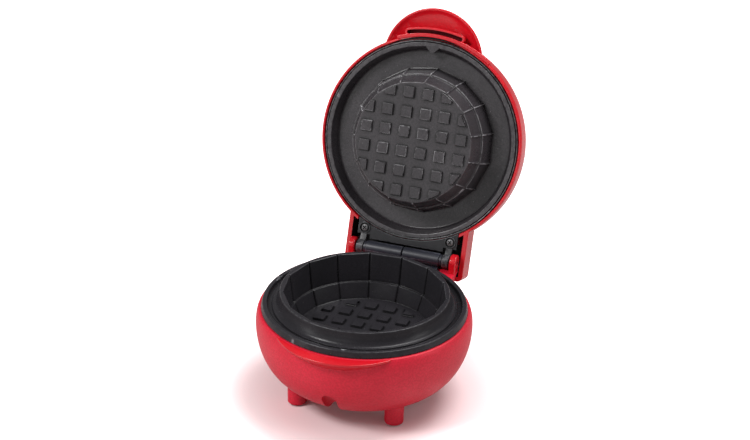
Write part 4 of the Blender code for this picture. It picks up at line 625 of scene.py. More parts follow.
def lipForm():
    top, radius = level["shellTop"] - lip["drop"], lip["radius"]
    low = top - lip["face"]
    return shifted(spun([
        (0, top), (radius, top, lip["round"]), (radius, low, lip["round"] / 2),
        (radius - lip["reach"], low - lip["undercut"]), (0, low - lip["undercut"]),
    ], bowl["steps"], segments=4), (0, radius - bowlRadius - lip["reach"], 0))


def blockOutline(wall):
    edge, reach = hingeBlock["edge"], hingeBlock["reach"]
    low, back = blockTop - hingeBlock["height"] + wall, hingeReach + reach - wall
    return [
        (hingeBlock["front"], blockTop - wall), (hingeBlock["front"], low),
        (bowlRadius - bowl["wall"] - wall, low + hingeBlock["waist"]),
        (hingeReach - reach - wall, blockTop - hingeBlock["waist"] - wall / 2),
        (back, blockTop - edge - wall / 2), (back, blockTop - wall),
    ]


def earOutline():
    foot, radius = blockTop - hingeBlock["edge"] / 2, hingeBlock["earRadius"]
    return arc((hingeReach, level["hinge"]), radius, 0.0, 180.0, 40) + [
        (hingeReach - radius, foot), (hingeReach + hingeBlock["reach"] / 2, foot),
    ]


def footForm(place):
    top = bowlHeightAt(place.length + feet["radius"]) + bowl["wall"]
    seat, low, pocket = pad["thick"] + gap, feet["proud"], pad["radius"] + gap
    return shifted(spun([
        (0, seat), (pocket, seat), (pocket, low),
        (feet["radius"] - feet["taper"], low, feet["edge"]), (feet["radius"], top), (0, top),
    ], feet["steps"], segments=5), place)


def notchRoof(wall, startY):
    top = level["floor"] + notch["height"] + wall
    foot = level["floor"] + notch["footHeight"] + wall
    return [(startY, top), (wall - notch["roofY"], top), (wall - notch["footY"], foot)]


def notchCutter():
    front, inner = -bowlRadius - spare, well["wall"] / 2 - well["radius"]
    roof, half = notchRoof(0, front), notch["half"]
    foot, low = roof[-1][1], level["floor"] - half
    bm = drawnAcross([*roof, (inner, foot), (inner, low), (front, low)], -half, half)
    ridge = [e for e in levelEdges(bm, 0) if min(v.co.z for v in e.verts) > foot - near]
    rounded(bm, ridge, notch["round"], 10)
    return bm


def notchSurround():
    highest = level["floor"] + notch["height"] + notch["wall"]
    inner = well["radius"] + bowl["wall"] * 2
    skin = [
        (-radius, z) for radius, z in bowlWall(bowl["wall"] / 2, notch["skinSteps"])
        if z < highest and radius > inner
    ]
    back = -well["radius"] - well["wall"] / 2
    roof = notchRoof(notch["wall"], skin[-1][0])
    return [(back, skin[0][1]), *skin, *roof, (back, roof[-1][1])]


def leafTongues(extra):
    # what the barrels' leaf stands in the hinge block with, or its holes with some room
    bm = bmesh.new()
    down, up, under = leafTongue["down"], leafTongue["up"], level["leafTop"] - leafThick
    for sign in (1, -1):
        middle = (
            sign * leafTongue["x"], hingeReach - leafTongue["inset"],
            (under - down - extra + under + up) / 2,
        )
        half, halfThick = leafTongue["half"] + extra, leafTongue["halfThick"] + extra
        addBlock(bm, middle, (half * 2, halfThick * 2, down + up + extra))
    return bm


def bushAxis():
    angle, wide = math.radians(bush["angle"]), bowlRadius - bowl["flatRadius"]
    across, down = math.cos(angle), math.sin(angle)
    surface = (0, bowl["flatRadius"] + wide * across, level["widest"] - bowl["height"] * down)
    outward = Vector((0, across / wide, -down / bowl["height"])).normalized()
    return Vector(surface), outward


def makeBaseShell():
    floor, wall, earOut = level["floor"], bowl["wall"], hingeBlock["earOut"]
    rimRadius, rimTop = bowlRadius - bowl["shoulderInset"], level["shellTop"]
    shell = workpiece("base_shell_skin", spun([
        (0, floor), *bowlWall(0, bowl["wallSteps"]), *shoulder(0, range(15, 90, 15)),
        (rimRadius, rimTop, bowl["topRound"]), (0, rimTop),
    ], bowl["steps"]), satinRed, glossRed)
    join(shell, lipForm(), 1)
    join(shell, drawnAcross(blockOutline(0), -earOut, earOut, hingeBlock["soften"]))
    join(shell, drawnAcross(
        earOutline(), hingeBlock["earIn"], earOut, hingeBlock["earSoften"], bothSides=True,
        segments=4,
    ), 1)
    for place in feet["places"].values():
        join(shell, footForm(place))
    edge, wellOut = well["radius"], well["radius"] + well["wall"]
    ledge = floor + well["depth"] + well["coverThick"] + gap
    ceiling = ledge + well["wall"]
    carve(shell, spun([
        (0, ceiling), (wellOut, ceiling), (wellOut, floor + wall),
        *[point for point in bowlWall(wall, bowl["insideWallSteps"]) if point[0] > wellOut],
        *shoulder(wall, (90.0,)), (rimRadius - wall, rimTop + spare), (0, rimTop + spare),
    ], bowl["insideSteps"]))
    thick = hingeBlock["wall"]
    carve(shell, drawnAcross(blockOutline(thick), thick - earOut, earOut - thick))
    carve(shell, spun([
        (0, floor - spare), (edge + well["flare"], floor - spare),
        (edge, floor + well["flareHeight"]), (edge, ledge), (edge - well["ledge"], ledge),
        (edge - well["ledge"], ceiling + spare), (0, ceiling + spare),
    ], well["steps"]))
    half = notch["half"] + notch["wall"]
    join(shell, drawnAcross(notchSurround(), -half, half))
    carve(shell, notchCutter())
    carve(shell, hingeRod(pin["bore"], earOut + spare))
    carve(shell, leafTongues(gap))
    surface, outward = bushAxis()
    tail = outward * bush["tail"]
    carve(shell, rod(bush["radius"] + gap, surface + tail, surface - tail))
    low = (-half, notch["softFrom"], floor - notch["soften"])
    high = (half, notch["softTo"], notch["softTop"])
    softenEdges(shell, within(low, high), notch["soften"], 3)
    settle(shell, "base", "red_shell", "base_shell")


makeBaseShell()


# ---- baking plates

ribs = {
    "count": 15, "firstDeg": 10.0, "height": 0.00065, "halfWidth": 0.0009, "crowdDeg": 2.2,
    "stepsEach": 20, "fade": 0.0015, "depth": 0.0011, "flatness": (0.45, 0.12, 1.0),
}
waffle = {
    "pitch": 0.0122, "square": 0.0072, "rise": 0.0014, "draft": 0.00045, "soften": 0.00028,
    "least": 0.2, "whole": 0.5, "plainBelow": 0.42, "cornerRing": 0.00018, "level": 1e-7,
}
punch = {
    "depth": 0.0163, "stepDepth": 0.0065, "face": 0.0375, "gridEdge": 0.0364, "nose": 0.041,
    "step": 0.0422, "base": 0.045, "recessFloor": 0.0561, "recessDepth": 0.008, "wall": 0.0024,
    "faceRound": 0.0005, "noseRound": 0.0004, "stepRound": 0.0005, "baseRound": 0.0008,
    "recessRound": 0.0011, "ribFrom": 0.0001, "backEdge": 0.0593,
}
rim = {
    "foot": 0.062, "top": 0.061, "inner": 0.0585, "round": 0.0005, "topRound": 0.00025,
    # the upper plate's flange: radius, height over the rim, rounding
    "flange": (
        (0.0612, 0.001), (0.0617, 0.0008), (0.0617, 0.0005, 0.0001), (0.0623, 0.0005, 0.00025),
        (0.0623, 0.006), (0.0601, 0.006),
    ),
}
tongue = {
    # radii are counted inwards from the rim
    "half": 0.0042, "root": -0.00125, "start": 0.0005, "side": 0.0034, "tip": 0.0038,
    "tipHalf": 0.0012, "proud": 0.0001, "soften": 0.0003,
}
cavity = {
    "batter": 0.004, "batterFloor": 0.005, "wall": 0.003, "backEdge": 0.0594, "belly": 0.0026,
    "under": 0.0026, "ribFrom": 0.0008, "collar": 0.0066, "collarWidth": 0.0021,
    "collarRound": 0.0006, "flare": 0.0036, "flareStepDeg": 9, "channel": 0.0024, "ridge": 0.0012,
    "ridgeEdge": 0.0006, "ridgeRound": 0.0002, "ridgeFoot": 0.0009, "footRound": 0.0003,
    "channelEdge": 0.0004, "channelRound": 0.0006, "rimRound": 0.0006, "rimFootRound": 0.0003,
}
post = {
    "baseRing": 0.026, "baseRadius": 0.0035, "baseBore": 0.0017, "baseHeight": 0.00846,
    "lidRing": 0.0554, "lidRadius": 0.0024, "lidBore": 0.0013, "lidHeight": 0.0085,
    "into": 0.0012,
}


def crowdAngle(angle):
    # draws the steps in towards each rib, so that its narrow crest comes out round
    pitch, first = math.tau / ribs["count"], math.radians(ribs["firstDeg"])
    turns = (angle - first) / pitch
    whole = round(turns)
    share, crest = abs(turns - whole) * 2, math.radians(ribs["crowdDeg"]) * 2 / pitch
    drawn = share * 2 * crest if share <= 0.5 else crest + (share - 0.5) * 2 * (1 - crest)
    return first + (whole + math.copysign(drawn / 2, turns - whole)) * pitch


def valueAt(table, place):
    for (low, first), (high, second) in zip(table, table[1:]):
        if place <= high:
            share = min(max((place - low) / (high - low), 0), 1)
            return first + (second - first) * share
    return table[-1][1]


def shapeRibs(bm, front, heights, innerRadius, outerRadius):
    # turns the round wall into fifteen flats with a thin raised rib between them; front is the
    # profile of the baked face, and heights are those at which the flatness is given
    pitch, end = math.tau / ribs["count"], outerRadius + ribs["fade"]
    baked, facets = [(point[0], point[1]) for point in front], list(zip(heights, ribs["flatness"]))
    for vert in bm.verts:
        radius = vert.co.to_2d().length
        if radius < 1e-5:
            continue
        angle = crowdAngle(math.atan2(vert.co.y, vert.co.x))
        wanted = radius
        onFront = abs(vert.co.z - valueAt(baked, radius)) < ribs["depth"]
        if innerRadius < radius < end and onFront:
            turns = (angle - math.radians(ribs["firstDeg"])) / pitch
            off = abs(turns - round(turns)) * pitch
            flat = radius * math.cos(pitch / 2) / math.cos(pitch / 2 - off)
            across = min(off * radius / ribs["halfWidth"], 1)
            crest = ribs["height"] * (0.5 + 0.5 * math.cos(math.pi * across))
            fade = min(max((end - radius) / ribs["fade"], 0), 1)
            wanted += ((flat - radius) * valueAt(facets, vert.co.z) + crest) * fade
        vert.co.x, vert.co.y = wanted * math.cos(angle), wanted * math.sin(angle)


def inRow(value):
    return abs((value / waffle["pitch"]) % 1.0 - 0.5) * waffle["pitch"] < waffle["square"] / 2


def isSquare(face):
    middle, least = face.calc_center_median_weighted(), waffle["square"] ** 2 * waffle["least"]
    return face.calc_area() > least and inRow(middle.x) and inRow(middle.y)


def once(parts):
    # each part once, always in the same order
    return list(dict.fromkeys(parts))


def raiseWaffle(bm, height, rise):
    # the flat middle becomes one face, is cut along the grid's lines, and its squares rise
    middle = [
        face for face in bm.faces
        if any(v.co.to_2d().length < near and abs(v.co.z - height) < near for v in face.verts)
    ]
    region = bmesh.ops.dissolve_faces(bm, faces=middle, use_verts=True)["region"]
    pitch, square = waffle["pitch"], waffle["square"]
    rows = range(-int(punch["face"] / pitch), int(punch["face"] / pitch))
    lines = [(row + 0.5) * pitch + side * square / 2 for row in rows for side in (-1, 1)]
    for axis in (Vector((1, 0, 0)), Vector((0, 1, 0))):
        for line in lines:
            parts = list(region)
            for face in region:
                parts += [*face.verts, *face.edges]
            cutting = bmesh.ops.bisect_plane(
                bm, geom=once(parts), dist=near, plane_co=axis * line, plane_no=axis,
            )
            region = [item for item in cutting["geom"] if isinstance(item, bmesh.types.BMFace)]
    squares = [face for face in region if isSquare(face)]
    inset(bm, squares, waffle["draft"])
    shifted(bm, upBy(rise), once(vert for face in squares for vert in face.verts))
    rims = once(edge for face in squares for edge in face.edges)
    rounded(bm, rims, waffle["soften"], 3, clamp=True)
    tops = [
        face for face in bm.faces
        if abs(face.calc_center_median().z - height - rise) < waffle["level"]
    ]
    whole = [face for face in tops if face.calc_area() > square * square * waffle["whole"]]
    cutOff = [face for face in tops if face not in whole]
    for _ in range(2):
        inset(bm, whole, waffle["soften"])
        inset(bm, cutOff, waffle["cornerRing"], even=False)
    # tops too small for the painted edge highlight take the plain finish
    for face in tops:
        if face.calc_area() < square * square * waffle["plainBelow"]:
            face.material_index = 1


def addPosts(plate, body, firstDeg, root, rise):
    # three bored screw posts that stand on the back of a plate
    posts, bores, end = bmesh.new(), bmesh.new(), root + rise
    into = math.copysign(post["into"], -rise)
    for place in threeOn(post[f"{body}Ring"], firstDeg):
        addRod(posts, post[f"{body}Radius"], place + upBy(root + into), place + upBy(end))
        addRod(bores, post[f"{body}Bore"], place + upBy(root), place + upBy(end - into))
    join(plate, posts)
    carve(plate, bores)


def tongueForm(low, high):
    half, tipHalf = tongue["half"], tongue["tipHalf"]
    places = (tongue[key] - rim["inner"] for key in ("root", "start", "side", "tip"))
    root, start, side, tip = places
    return drawnUp([
        (-half, root), (half, root), (half, start), (tipHalf, side), (0, tip), (-tipHalf, side),
        (-half, start),
    ], low, high, tongue["soften"], 2)


def makeUpperPlate():
    lid, wall = level["lid"], punch["wall"]
    face, step, floor = lid - punch["depth"], lid - punch["stepDepth"], lid + punch["recessDepth"]
    back = floor + wall
    front = [
        (0, face), (punch["gridEdge"], face), (punch["face"], face, punch["faceRound"]),
        (punch["nose"], step, punch["noseRound"]), (punch["step"], step, punch["stepRound"]),
        (punch["base"], floor, punch["baseRound"]),
        (punch["recessFloor"], floor, punch["recessRound"]),
        (rim["inner"], lid, rim["round"]), (rim["top"], lid, rim["topRound"]),
    ]
    behind = [
        *lifted(rim["flange"], lid), (punch["backEdge"], back), (punch["base"] - wall, back),
        (punch["step"] - wall, step + wall), (punch["nose"] - wall, step + wall),
        (punch["face"] - wall, face + wall), (0, face + wall),
    ]
    bm = spun(front + behind, ribs["count"] * ribs["stepsEach"], ribs["firstDeg"])
    shapeRibs(bm, front, (face, step, floor), punch["gridEdge"] + punch["ribFrom"], punch["base"])
    raiseWaffle(bm, face, -waffle["rise"])
    plate = workpiece("upper_plate_skin", bm, darkCoat, plainCoat)
    join(plate, tongueForm(lid + tongue["proud"], floor + wall / 2), 1)
    addPosts(plate, "lid", -90.0, back, post["lidHeight"])
    settle(plate, "lid", "nonstick_coating", "upper_plate", sharpDeg=40.0)


def cavityRadiusAt(height):
    rise = punch["recessDepth"] + punch["stepDepth"]
    share = (height - level["lid"] + punch["stepDepth"]) / rise
    return punch["step"] + (punch["base"] - punch["step"]) * share + cavity["batter"]


def makeLowerPlate():
    lid, wall, top, foot = level["lid"], cavity["wall"], level["rimTop"], level["rimFoot"]
    step = lid - punch["stepDepth"] - cavity["batterFloor"]
    floor = lid - punch["depth"] - cavity["batterFloor"]
    collar, channel = lid + cavity["collar"], top - cavity["channel"]
    ridge, under = channel + cavity["ridge"], channel - cavity["under"]
    belly = floor - cavity["belly"]
    stepRadius, noseRadius, faceRadius = (
        punch[key] + cavity["batter"] for key in ("step", "nose", "face")
    )
    mouth = cavityRadiusAt(collar)
    outer, flareTop = mouth + cavity["collarWidth"], collar - cavity["collarRound"]
    turns = [math.radians(turn) for turn in range(0, 91, cavity["flareStepDeg"])]
    flare = [
        (outer + cavity["flare"] * (1 - math.cos(a)), flareTop + (ridge - flareTop) * math.sin(a))
        for a in turns
    ]
    front = [
        (0, floor), (punch["gridEdge"], floor), (faceRadius, floor, punch["faceRound"]),
        (noseRadius, step, punch["noseRound"]), (stepRadius, step, punch["stepRound"]),
        (mouth, collar, cavity["collarRound"]),
    ]
    outside = [
        (outer, collar, cavity["collarRound"]), *flare[1:],
        (flare[-1][0] + cavity["ridgeEdge"], ridge, cavity["ridgeRound"]),
        (flare[-1][0] + cavity["ridgeFoot"], channel, cavity["footRound"]),
        (rim["inner"] - cavity["channelEdge"], channel, cavity["channelRound"]),
        (rim["inner"], top, rim["round"]), (rim["top"], top, cavity["rimRound"]),
        (rim["foot"], foot, cavity["rimFootRound"]), (cavity["backEdge"], foot),
        (cavity["backEdge"], under), (stepRadius + wall, under), (stepRadius + wall, step - wall),
        (noseRadius + wall / 2, step - wall), (faceRadius + wall / 2, belly), (0, belly),
    ]
    bm = spun(front + outside, ribs["count"] * ribs["stepsEach"], ribs["firstDeg"])
    shapeRibs(bm, front, (floor, step, collar), faceRadius - cavity["ribFrom"], mouth)
    raiseWaffle(bm, floor, waffle["rise"])
    plate = workpiece("lower_plate_skin", bm, shadedLowerCoat, shadedLowerPlain)
    addPosts(plate, "base", 90.0, belly, -post["baseHeight"])
    settle(plate, "base", "nonstick_coating", "lower_plate", sharpDeg=40.0)


makeUpperPlate()
makeLowerPlate()


# ---- lid shell

dome = {
    "height": 0.04, "skirt": 0.008, "power": 2.3, "wall": 0.0022, "edge": 0.0011, "steps": 180,
    "wallSteps": 34, "insideSteps": 120, "insideWallSteps": 12,
    # the rounded lower edge: shares of the edge inwards and upwards
    "edgeLine": ((1, 0), (0.62, 0.08), (0.33, 0.5), (0.1, 1.15), (0, 2)),
}
plateHole = {
    # radius past the hole and height over the lid's lower face
    "radius": 0.0631, "mouth": ((0.0009, -spare), (0.0004, 0.0), (0.0, 0.0004), (0.0, 0.0063)),
    "ledge": 0.0025, "ledgeHeight": 0.002, "domeFrom": 0.004,
}
hood = {
    "inX": 0.0363, "outX": 0.0391, "inY": 0.0805, "outY": 0.0835, "height": 0.017,
    "wall": 0.003, "corner": 0.0036, "soften": 0.0005,
}
handle = {
    "radius": 0.0322, "centreY": -0.0504, "top": 0.01, "edgeHeight": 0.0027, "wall": 0.0022,
    "edge": 0.0014, "bevel": 0.00045, "edgeStart": 0.13, "edgeRound": 0.0003, "steps": 150,
    "edgeTopRound": 0.0004,
    # shares of the radius and of the way down from the crown
    "crownLine": (
        (0, 0), (0.2, 0.008), (0.37, 0.04), (0.53, 0.1), (0.68, 0.19), (0.79, 0.295),
        (0.87, 0.42), (0.93, 0.55), (0.97, 0.68),
    ),
    "innerLine": (
        (0.96, 0.75), (0.92, 0.52), (0.83, 0.33), (0.72, 0.2), (0.57, 0.11), (0.4, 0.05),
        (0.2, 0.01),
    ),
}
gripSlot = {
    "radius": 0.0678, "width": 0.0024, "half": 0.017, "depth": 0.005, "border": 0.0013,
    "padHeight": 0.0009, "padShare": 0.95, "padSoften": 0.0004, "soften": 0.0003,
    "band": 0.0001, "behind": -0.05,
}
bead = {
    "out": 0.0017, "into": 0.0006, "proud": 0.0005, "from": -111.0, "to": -55.0, "soften": 0.0004,
}
trough = {"radius": 0.0543, "shift": 0.0101, "depth": 0.0045, "steps": 240}
bracket = {
    "under": 0.0608, "front": 0.0628, "screwX": 0.02815, "screwY": 0.06, "tabSide": 0.0044,
    "tabBack": 0.0041, "neckIn": 0.0005, "back": 0.0665, "soften": 0.00025, "room": 0.0008,
    "knuckleRadius": 0.0042, "knuckleSoften": 0.0003, "eyeEnd": -200.0, "postRadius": 0.0036,
    "postHeight": 0.0105, "holeDepth": 0.0094,
}
boss = {
    "radius": 0.0037, "rise": 0.0007, "sink": 0.0005, "soften": 0.0003, "groove": 0.0008,
    "seatPast": 0.001,
}
bracketScrew = {
    "radius": 0.0022, "height": 0.0012, "shank": 0.0014, "length": 0.0085, "point": 0.001,
    "crown": 0.0001, "crownShare": 0.55, "crownDrop": 0.00002, "edge": 0.0003, "edgeRound": 0.0004,
    "topRound": 0.0001, "shankRound": 0.0002, "steps": 48,
    "cross": {"reach": 0.0019, "half": 0.00042, "depth": 0.0009},
}
lens = {
    "share": 0.46, "radius": 0.0032, "head": 0.0044, "rise": 0.0014, "stem": 0.0045,
    "stemRound": 0.0003, "headRound": 0.0002, "headEdge": 0.0003, "holeDepth": 0.0042,
    "probe": 0.0013, "crown": ((0.8, 0.78), (0.45, 0.96), (0, 1)), "steps": 64,
}
leafOver = bracket["under"] + leafThick


def domeWall(radius, height, foot, steps):
    points = []
    for step in range(steps + 1):
        angle, power = math.pi / 2 * step / steps, 2 / dome["power"]
        across = max(math.cos(angle), 0) ** power if step < steps else 0
        points.append((radius * across, foot + height * math.sin(angle) ** power))
    return points


def domeHeightAt(radius):
    share = (1 - (radius / bowlRadius) ** dome["power"]) ** (1 / dome["power"])
    return level["lid"] + dome["skirt"] + (dome["height"] - dome["skirt"]) * share


def lensFrame():
    radius, step = bowlRadius * lens["share"], lens["probe"]
    slope = (domeHeightAt(radius + step) - domeHeightAt(radius - step)) / (2 * step)
    return Vector((0, -radius, domeHeightAt(radius))), Vector((0, slope, 1)).normalized()


def handleForm():
    crown, edge = level["lid"] + handle["top"], level["lid"] + handle["edgeHeight"]
    rise, radius, inner = crown - edge, handle["radius"], handle["radius"] - handle["edge"]
    depth = rise - handle["wall"]
    points = [(radius * out, crown - rise * down) for out, down in handle["crownLine"]]
    points += [
        (radius, edge + rise * handle["edgeStart"], handle["edgeTopRound"]),
        (radius - handle["bevel"], edge, handle["edgeRound"]), (inner, edge, handle["edgeRound"]),
    ]
    points += [(inner * out, edge + depth * (1 - down)) for out, down in handle["innerLine"]]
    points += [(0, edge + rise - handle["wall"])]
    return shifted(spun(points, handle["steps"]), (0, handle["centreY"], 0))


def slotOutline(extra):
    middle, half = gripSlot["radius"], gripSlot["width"] / 2 + extra
    reach = math.degrees(gripSlot["half"] / middle)
    left, right = -90.0 - reach, -90.0 + reach
    points = arc((0, 0), middle + half, left, right, 28)
    points += arc(onCircle(middle, right), half, right, right + 180.0, 12)[1:-1]
    points += arc((0, 0), middle - half, right, left, 28)
    points += arc(onCircle(middle, left), half, left + 180.0, left + 360.0, 12)[1:-1]
    return points


def hoodForm():
    lid = level["lid"]
    bm = block(
        (-hood["outX"], bowlRadius / 2, lid), (hood["outX"], hood["outY"], lid + hood["height"]),
    )
    square, edges = levelEdges(bm, 0), []
    for edge in bm.edges:
        low, rear = min(v.co.z for v in edge.verts), min(v.co.y for v in edge.verts)
        across, behind = edge not in square, rear > bowlRadius
        if (low > lid + near and (behind or not across)) or (behind and not across):
            edges.append(edge)
    rounded(bm, edges, hood["corner"], 8)
    rims = [e for e in bm.edges if all(abs(v.co.z - lid) < near for v in e.verts)]
    rounded(bm, rims, hood["soften"], 2)
    return bm


def beadForm(low, high):
    outer = arc((0, 0), bowlRadius + bead["out"], bead["from"], bead["to"], 60)
    inner = arc((0, 0), bowlRadius - bead["into"], bead["to"], bead["from"], 60)
    return drawnUp(outer + inner, low, high, bead["soften"])


def makeLidShell():
    lid, edge, skirt = level["lid"], dome["edge"], dome["skirt"]
    foot = [(bowlRadius - edge * inward, lid + edge * rise) for inward, rise in dome["edgeLine"]]
    wall = domeWall(bowlRadius, dome["height"] - skirt, lid + skirt, dome["wallSteps"])
    bm = spun([(0, lid), *foot, *wall], dome["steps"])
    shell = workpiece("lid_shell_skin", bm, glossRed, mattBlack, slotShadeRed)
    join(shell, handleForm())
    slotFoot = lid + gripSlot["padHeight"]
    rise = handle["top"] - handle["edgeHeight"] - handle["wall"]
    padTop = lid + handle["edgeHeight"] + rise * gripSlot["padShare"]
    join(shell, drawnUp(slotOutline(gripSlot["border"]), slotFoot, padTop, gripSlot["padSoften"]))
    join(shell, hoodForm())
    mouth = [(plateHole["radius"] + out, lid + rise) for out, rise in plateHole["mouth"]]
    seat, ledge = mouth[-1][1], plateHole["radius"] - plateHole["ledge"]
    innerRadius, innerFoot = bowlRadius - dome["wall"], seat + plateHole["domeFrom"]
    innerHeight = lid + dome["height"] - dome["wall"] - innerFoot
    carve(shell, spun([
        (0, lid - spare), *mouth, (ledge, seat), (ledge, seat + plateHole["ledgeHeight"]),
        *domeWall(innerRadius, innerHeight, innerFoot, dome["insideWallSteps"]),
    ], dome["insideSteps"]))
    front, inX, inY = bowlRadius - gap / 2, hood["inX"], hood["inY"]
    reach = math.degrees(math.acos(inX / front))
    # painted shade: the inside of the hood takes the matt black
    carve(shell, drawnUp(
        [(-inX, inY), *arc((0, 0), front, 180.0 - reach, reach, 40), (inX, inY)],
        lid - spare, lid + hood["height"] - hood["wall"],
    ), 1)
    join(shell, beadForm(lid - bead["proud"], lid + handle["edgeHeight"]))
    # painted shade: a black crescent between the plate's edge and the bead, where the gap lies in
    # shade
    centre = onCircle(trough["shift"], -90.0)
    carve(shell, rod(
        trough["radius"], centre + upBy(lid - spare), centre + upBy(lid + trough["depth"]),
        trough["steps"],
    ), 1)
    # painted shade: the inside of the slot takes the dark red
    carve(shell, drawnUp(slotOutline(0), lid - spare, slotFoot + gripSlot["depth"]), 2)
    half = bracket["screwX"] + bracket["tabSide"] + bracket["room"]
    carve(shell, block((-half, rim["inner"] / 2, lid - spare), (half, hingeReach, leafOver + gap)))
    posts, holes = bmesh.new(), bmesh.new()
    for sign in (1, -1):
        foot = Vector((sign * bracket["screwX"], bracket["screwY"], leafOver + gap))
        addRod(posts, bracket["postRadius"], foot, foot + upBy(bracket["postHeight"]))
        top = foot + upBy(bracket["holeDepth"])
        addRod(holes, bracketScrew["shank"] + gap, foot - upBy(spare), top)
    join(shell, posts)
    carve(shell, holes)
    place, upright = lensFrame()
    carve(shell, rod(
        lens["radius"] + gap, place + upright * spare, place - upright * lens["holeDepth"],
    ))
    low = (-1, -1, slotFoot - gripSlot["band"])
    high = (1, gripSlot["behind"], slotFoot + gripSlot["band"])
    softenEdges(shell, within(low, high), gripSlot["soften"], 2)
    settle(shell, "lid", "red_shell", "lid_shell")


makeLidShell()


# ---- hinge: bracket on the lid, barrels on the base, pin and screws

barrel = {
    "radius": 0.0044, "end": 0.02395, "split": 0.00035, "soften": 0.0004, "sides": 64,
    "neckRadius": 0.0036, "neck": 0.0016, "neckSink": 0.0004, "leafBack": 0.0014,
    "leafSoften": 0.0002,
}
cross = {"turnDeg": 38, "narrow": 0.62}


def makeBracket():
    under, radius, screwX = bracket["under"], bracket["front"], bracket["screwX"]
    half, neck = screwX + bracket["tabSide"], screwX - bracket["tabSide"] + bracket["neckIn"]
    tabBack, back = bracket["screwY"] + bracket["tabBack"], bracket["back"]
    reach = math.degrees(math.acos(half / radius))
    outline = arc((0, 0), radius, 180.0 - reach, reach, 60) + [
        (half, tabBack), (neck, tabBack), (neck, back), (-neck, back), (-neck, tabBack),
        (-half, tabBack),
    ]
    form = drawnUp(outline, under, leafOver, bracket["soften"], 2, border=2)
    leaf = workpiece("lid_bracket", form, bracketPaint, mattBlack)
    eye = arc((hingeReach, level["hinge"]), bracket["knuckleRadius"], 90.0, bracket["eyeEnd"], 60)
    neckY = tabBack - leafThick / 2
    join(leaf, drawnAcross(
        eye + [(neckY, under), (neckY, leafOver)], pin["knuckleIn"], pin["knuckleOut"],
        bracket["knuckleSoften"], bothSides=True, segments=2,
    ))
    rings, seats, shanks = bmesh.new(), bmesh.new(), bmesh.new()
    for sign in (1, -1):
        middle = Vector((sign * screwX, bracket["screwY"], 0))
        low = middle + upBy(under - boss["rise"])
        verts = addRod(rings, boss["radius"], low, middle + upBy(leafOver - boss["sink"]))
        lowest = {vert for vert in verts if abs(vert.co.z - low.z) < near}
        rounded(rings, [e for e in rings.edges if lowest.issuperset(e.verts)], boss["soften"])
        seat = low + upBy(bracketScrew["height"] + boss["rise"] / 2)
        addRod(seats, bracketScrew["radius"] + boss["groove"], low - upBy(spare), seat)
        addRod(
            shanks, bracketScrew["shank"] + gap, seat - upBy(boss["seatPast"]),
            middle + upBy(leafOver + spare),
        )
    join(leaf, rings)
    # painted shade: the groove round each screw head takes the matt black
    carve(leaf, seats, 1)
    carve(leaf, shanks)
    carve(leaf, hingeRod(pin["bore"], pin["knuckleOut"] + spare))
    settle(leaf, "lid", "black_bracket", "lid_hinge_leaf")


def makeBarrels():
    z, side, top = level["hinge"], barrel["end"], level["leafTop"]
    rolls, necks = bmesh.new(), bmesh.new()
    for sign in (1, -1):
        for bm, radius, start, end in (
            (rolls, barrel["radius"], barrel["split"], side),
            (necks, barrel["neckRadius"], side - barrel["neckSink"], side + barrel["neck"]),
        ):
            start, end = (sign * start, hingeReach, z), (sign * end, hingeReach, z)
            addRod(bm, radius, start, end, barrel["sides"])
    rounded(rolls, levelEdges(rolls, 0), barrel["soften"])
    leaf = workpiece("base_barrels", rolls, barrelPaint)
    low, back = (-side, bowlRadius + gap, top - leafThick), hingeReach + barrel["leafBack"]
    join(leaf, block(low, (side, back, top), barrel["leafSoften"], 2))
    join(leaf, leafTongues(0))
    join(leaf, necks)
    carve(leaf, hingeRod(pin["bore"], pin["knuckleIn"]))
    settle(leaf, "base", "black_bracket", "base_hinge_leaf")


def makePin():
    bm = hingeRod(pin["radius"], hingeBlock["earOut"] - gap)
    rounded(bm, levelEdges(bm, 0), pin["soften"])
    settle(workpiece("hinge_pin", bm, blackSteel), "base", "screw_steel", "hinge_rod")


def crossCutter(place, low, size):
    # a plus sign that narrows as it goes in
    reach, half, high = size["reach"], size["half"], low + size["depth"]
    corners, points = ((reach, -half), (reach, half), (half, half)), []
    for quarter in range(4):
        turn = Matrix.Rotation(math.pi / 2 * quarter + math.radians(cross["turnDeg"]), 2)
        points += [turn @ Vector(corner) for corner in corners]
    bm = drawnUp([(place.x + p.x, place.y + p.y) for p in points], low - spare, high)
    for vert in bm.verts:
        if abs(vert.co.z - high) < near:
            vert.co.x = place.x + (vert.co.x - place.x) * cross["narrow"]
            vert.co.y = place.y + (vert.co.y - place.y) * cross["narrow"]
    return bm


def makeBracketScrew(side, sign):
    size = bracketScrew
    top = bracket["under"] - boss["rise"] / 2 + size["height"] - gap
    low, head, shank = top - size["height"], size["radius"], size["shank"]
    end = low + size["length"]
    place = Vector((sign * bracket["screwX"], bracket["screwY"], 0))
    bm = shifted(spun([
        (0, low - size["crown"]), (head * size["crownShare"], low - size["crownDrop"]),
        (head, low + size["edge"], size["edgeRound"]), (head, top, size["topRound"]),
        (shank, top, size["shankRound"]), (shank, end - size["point"]), (0, end),
    ], size["steps"]), place)
    screw = workpiece(f"bracket_screw_{side}", bm, screwFace, mattBlack)
    # painted shade: the cross recess takes the matt black
    carve(screw, crossCutter(place, low, size["cross"]), 1)
    settle(screw, "lid", "screw_steel", f"lid_hinge_screw_{side}")


makeBracket()
makeBarrels()
makePin()
makeBracketScrew("left", -1)
makeBracketScrew("right", 1)


# ---- underside: pads, cover and its screws, cord bush

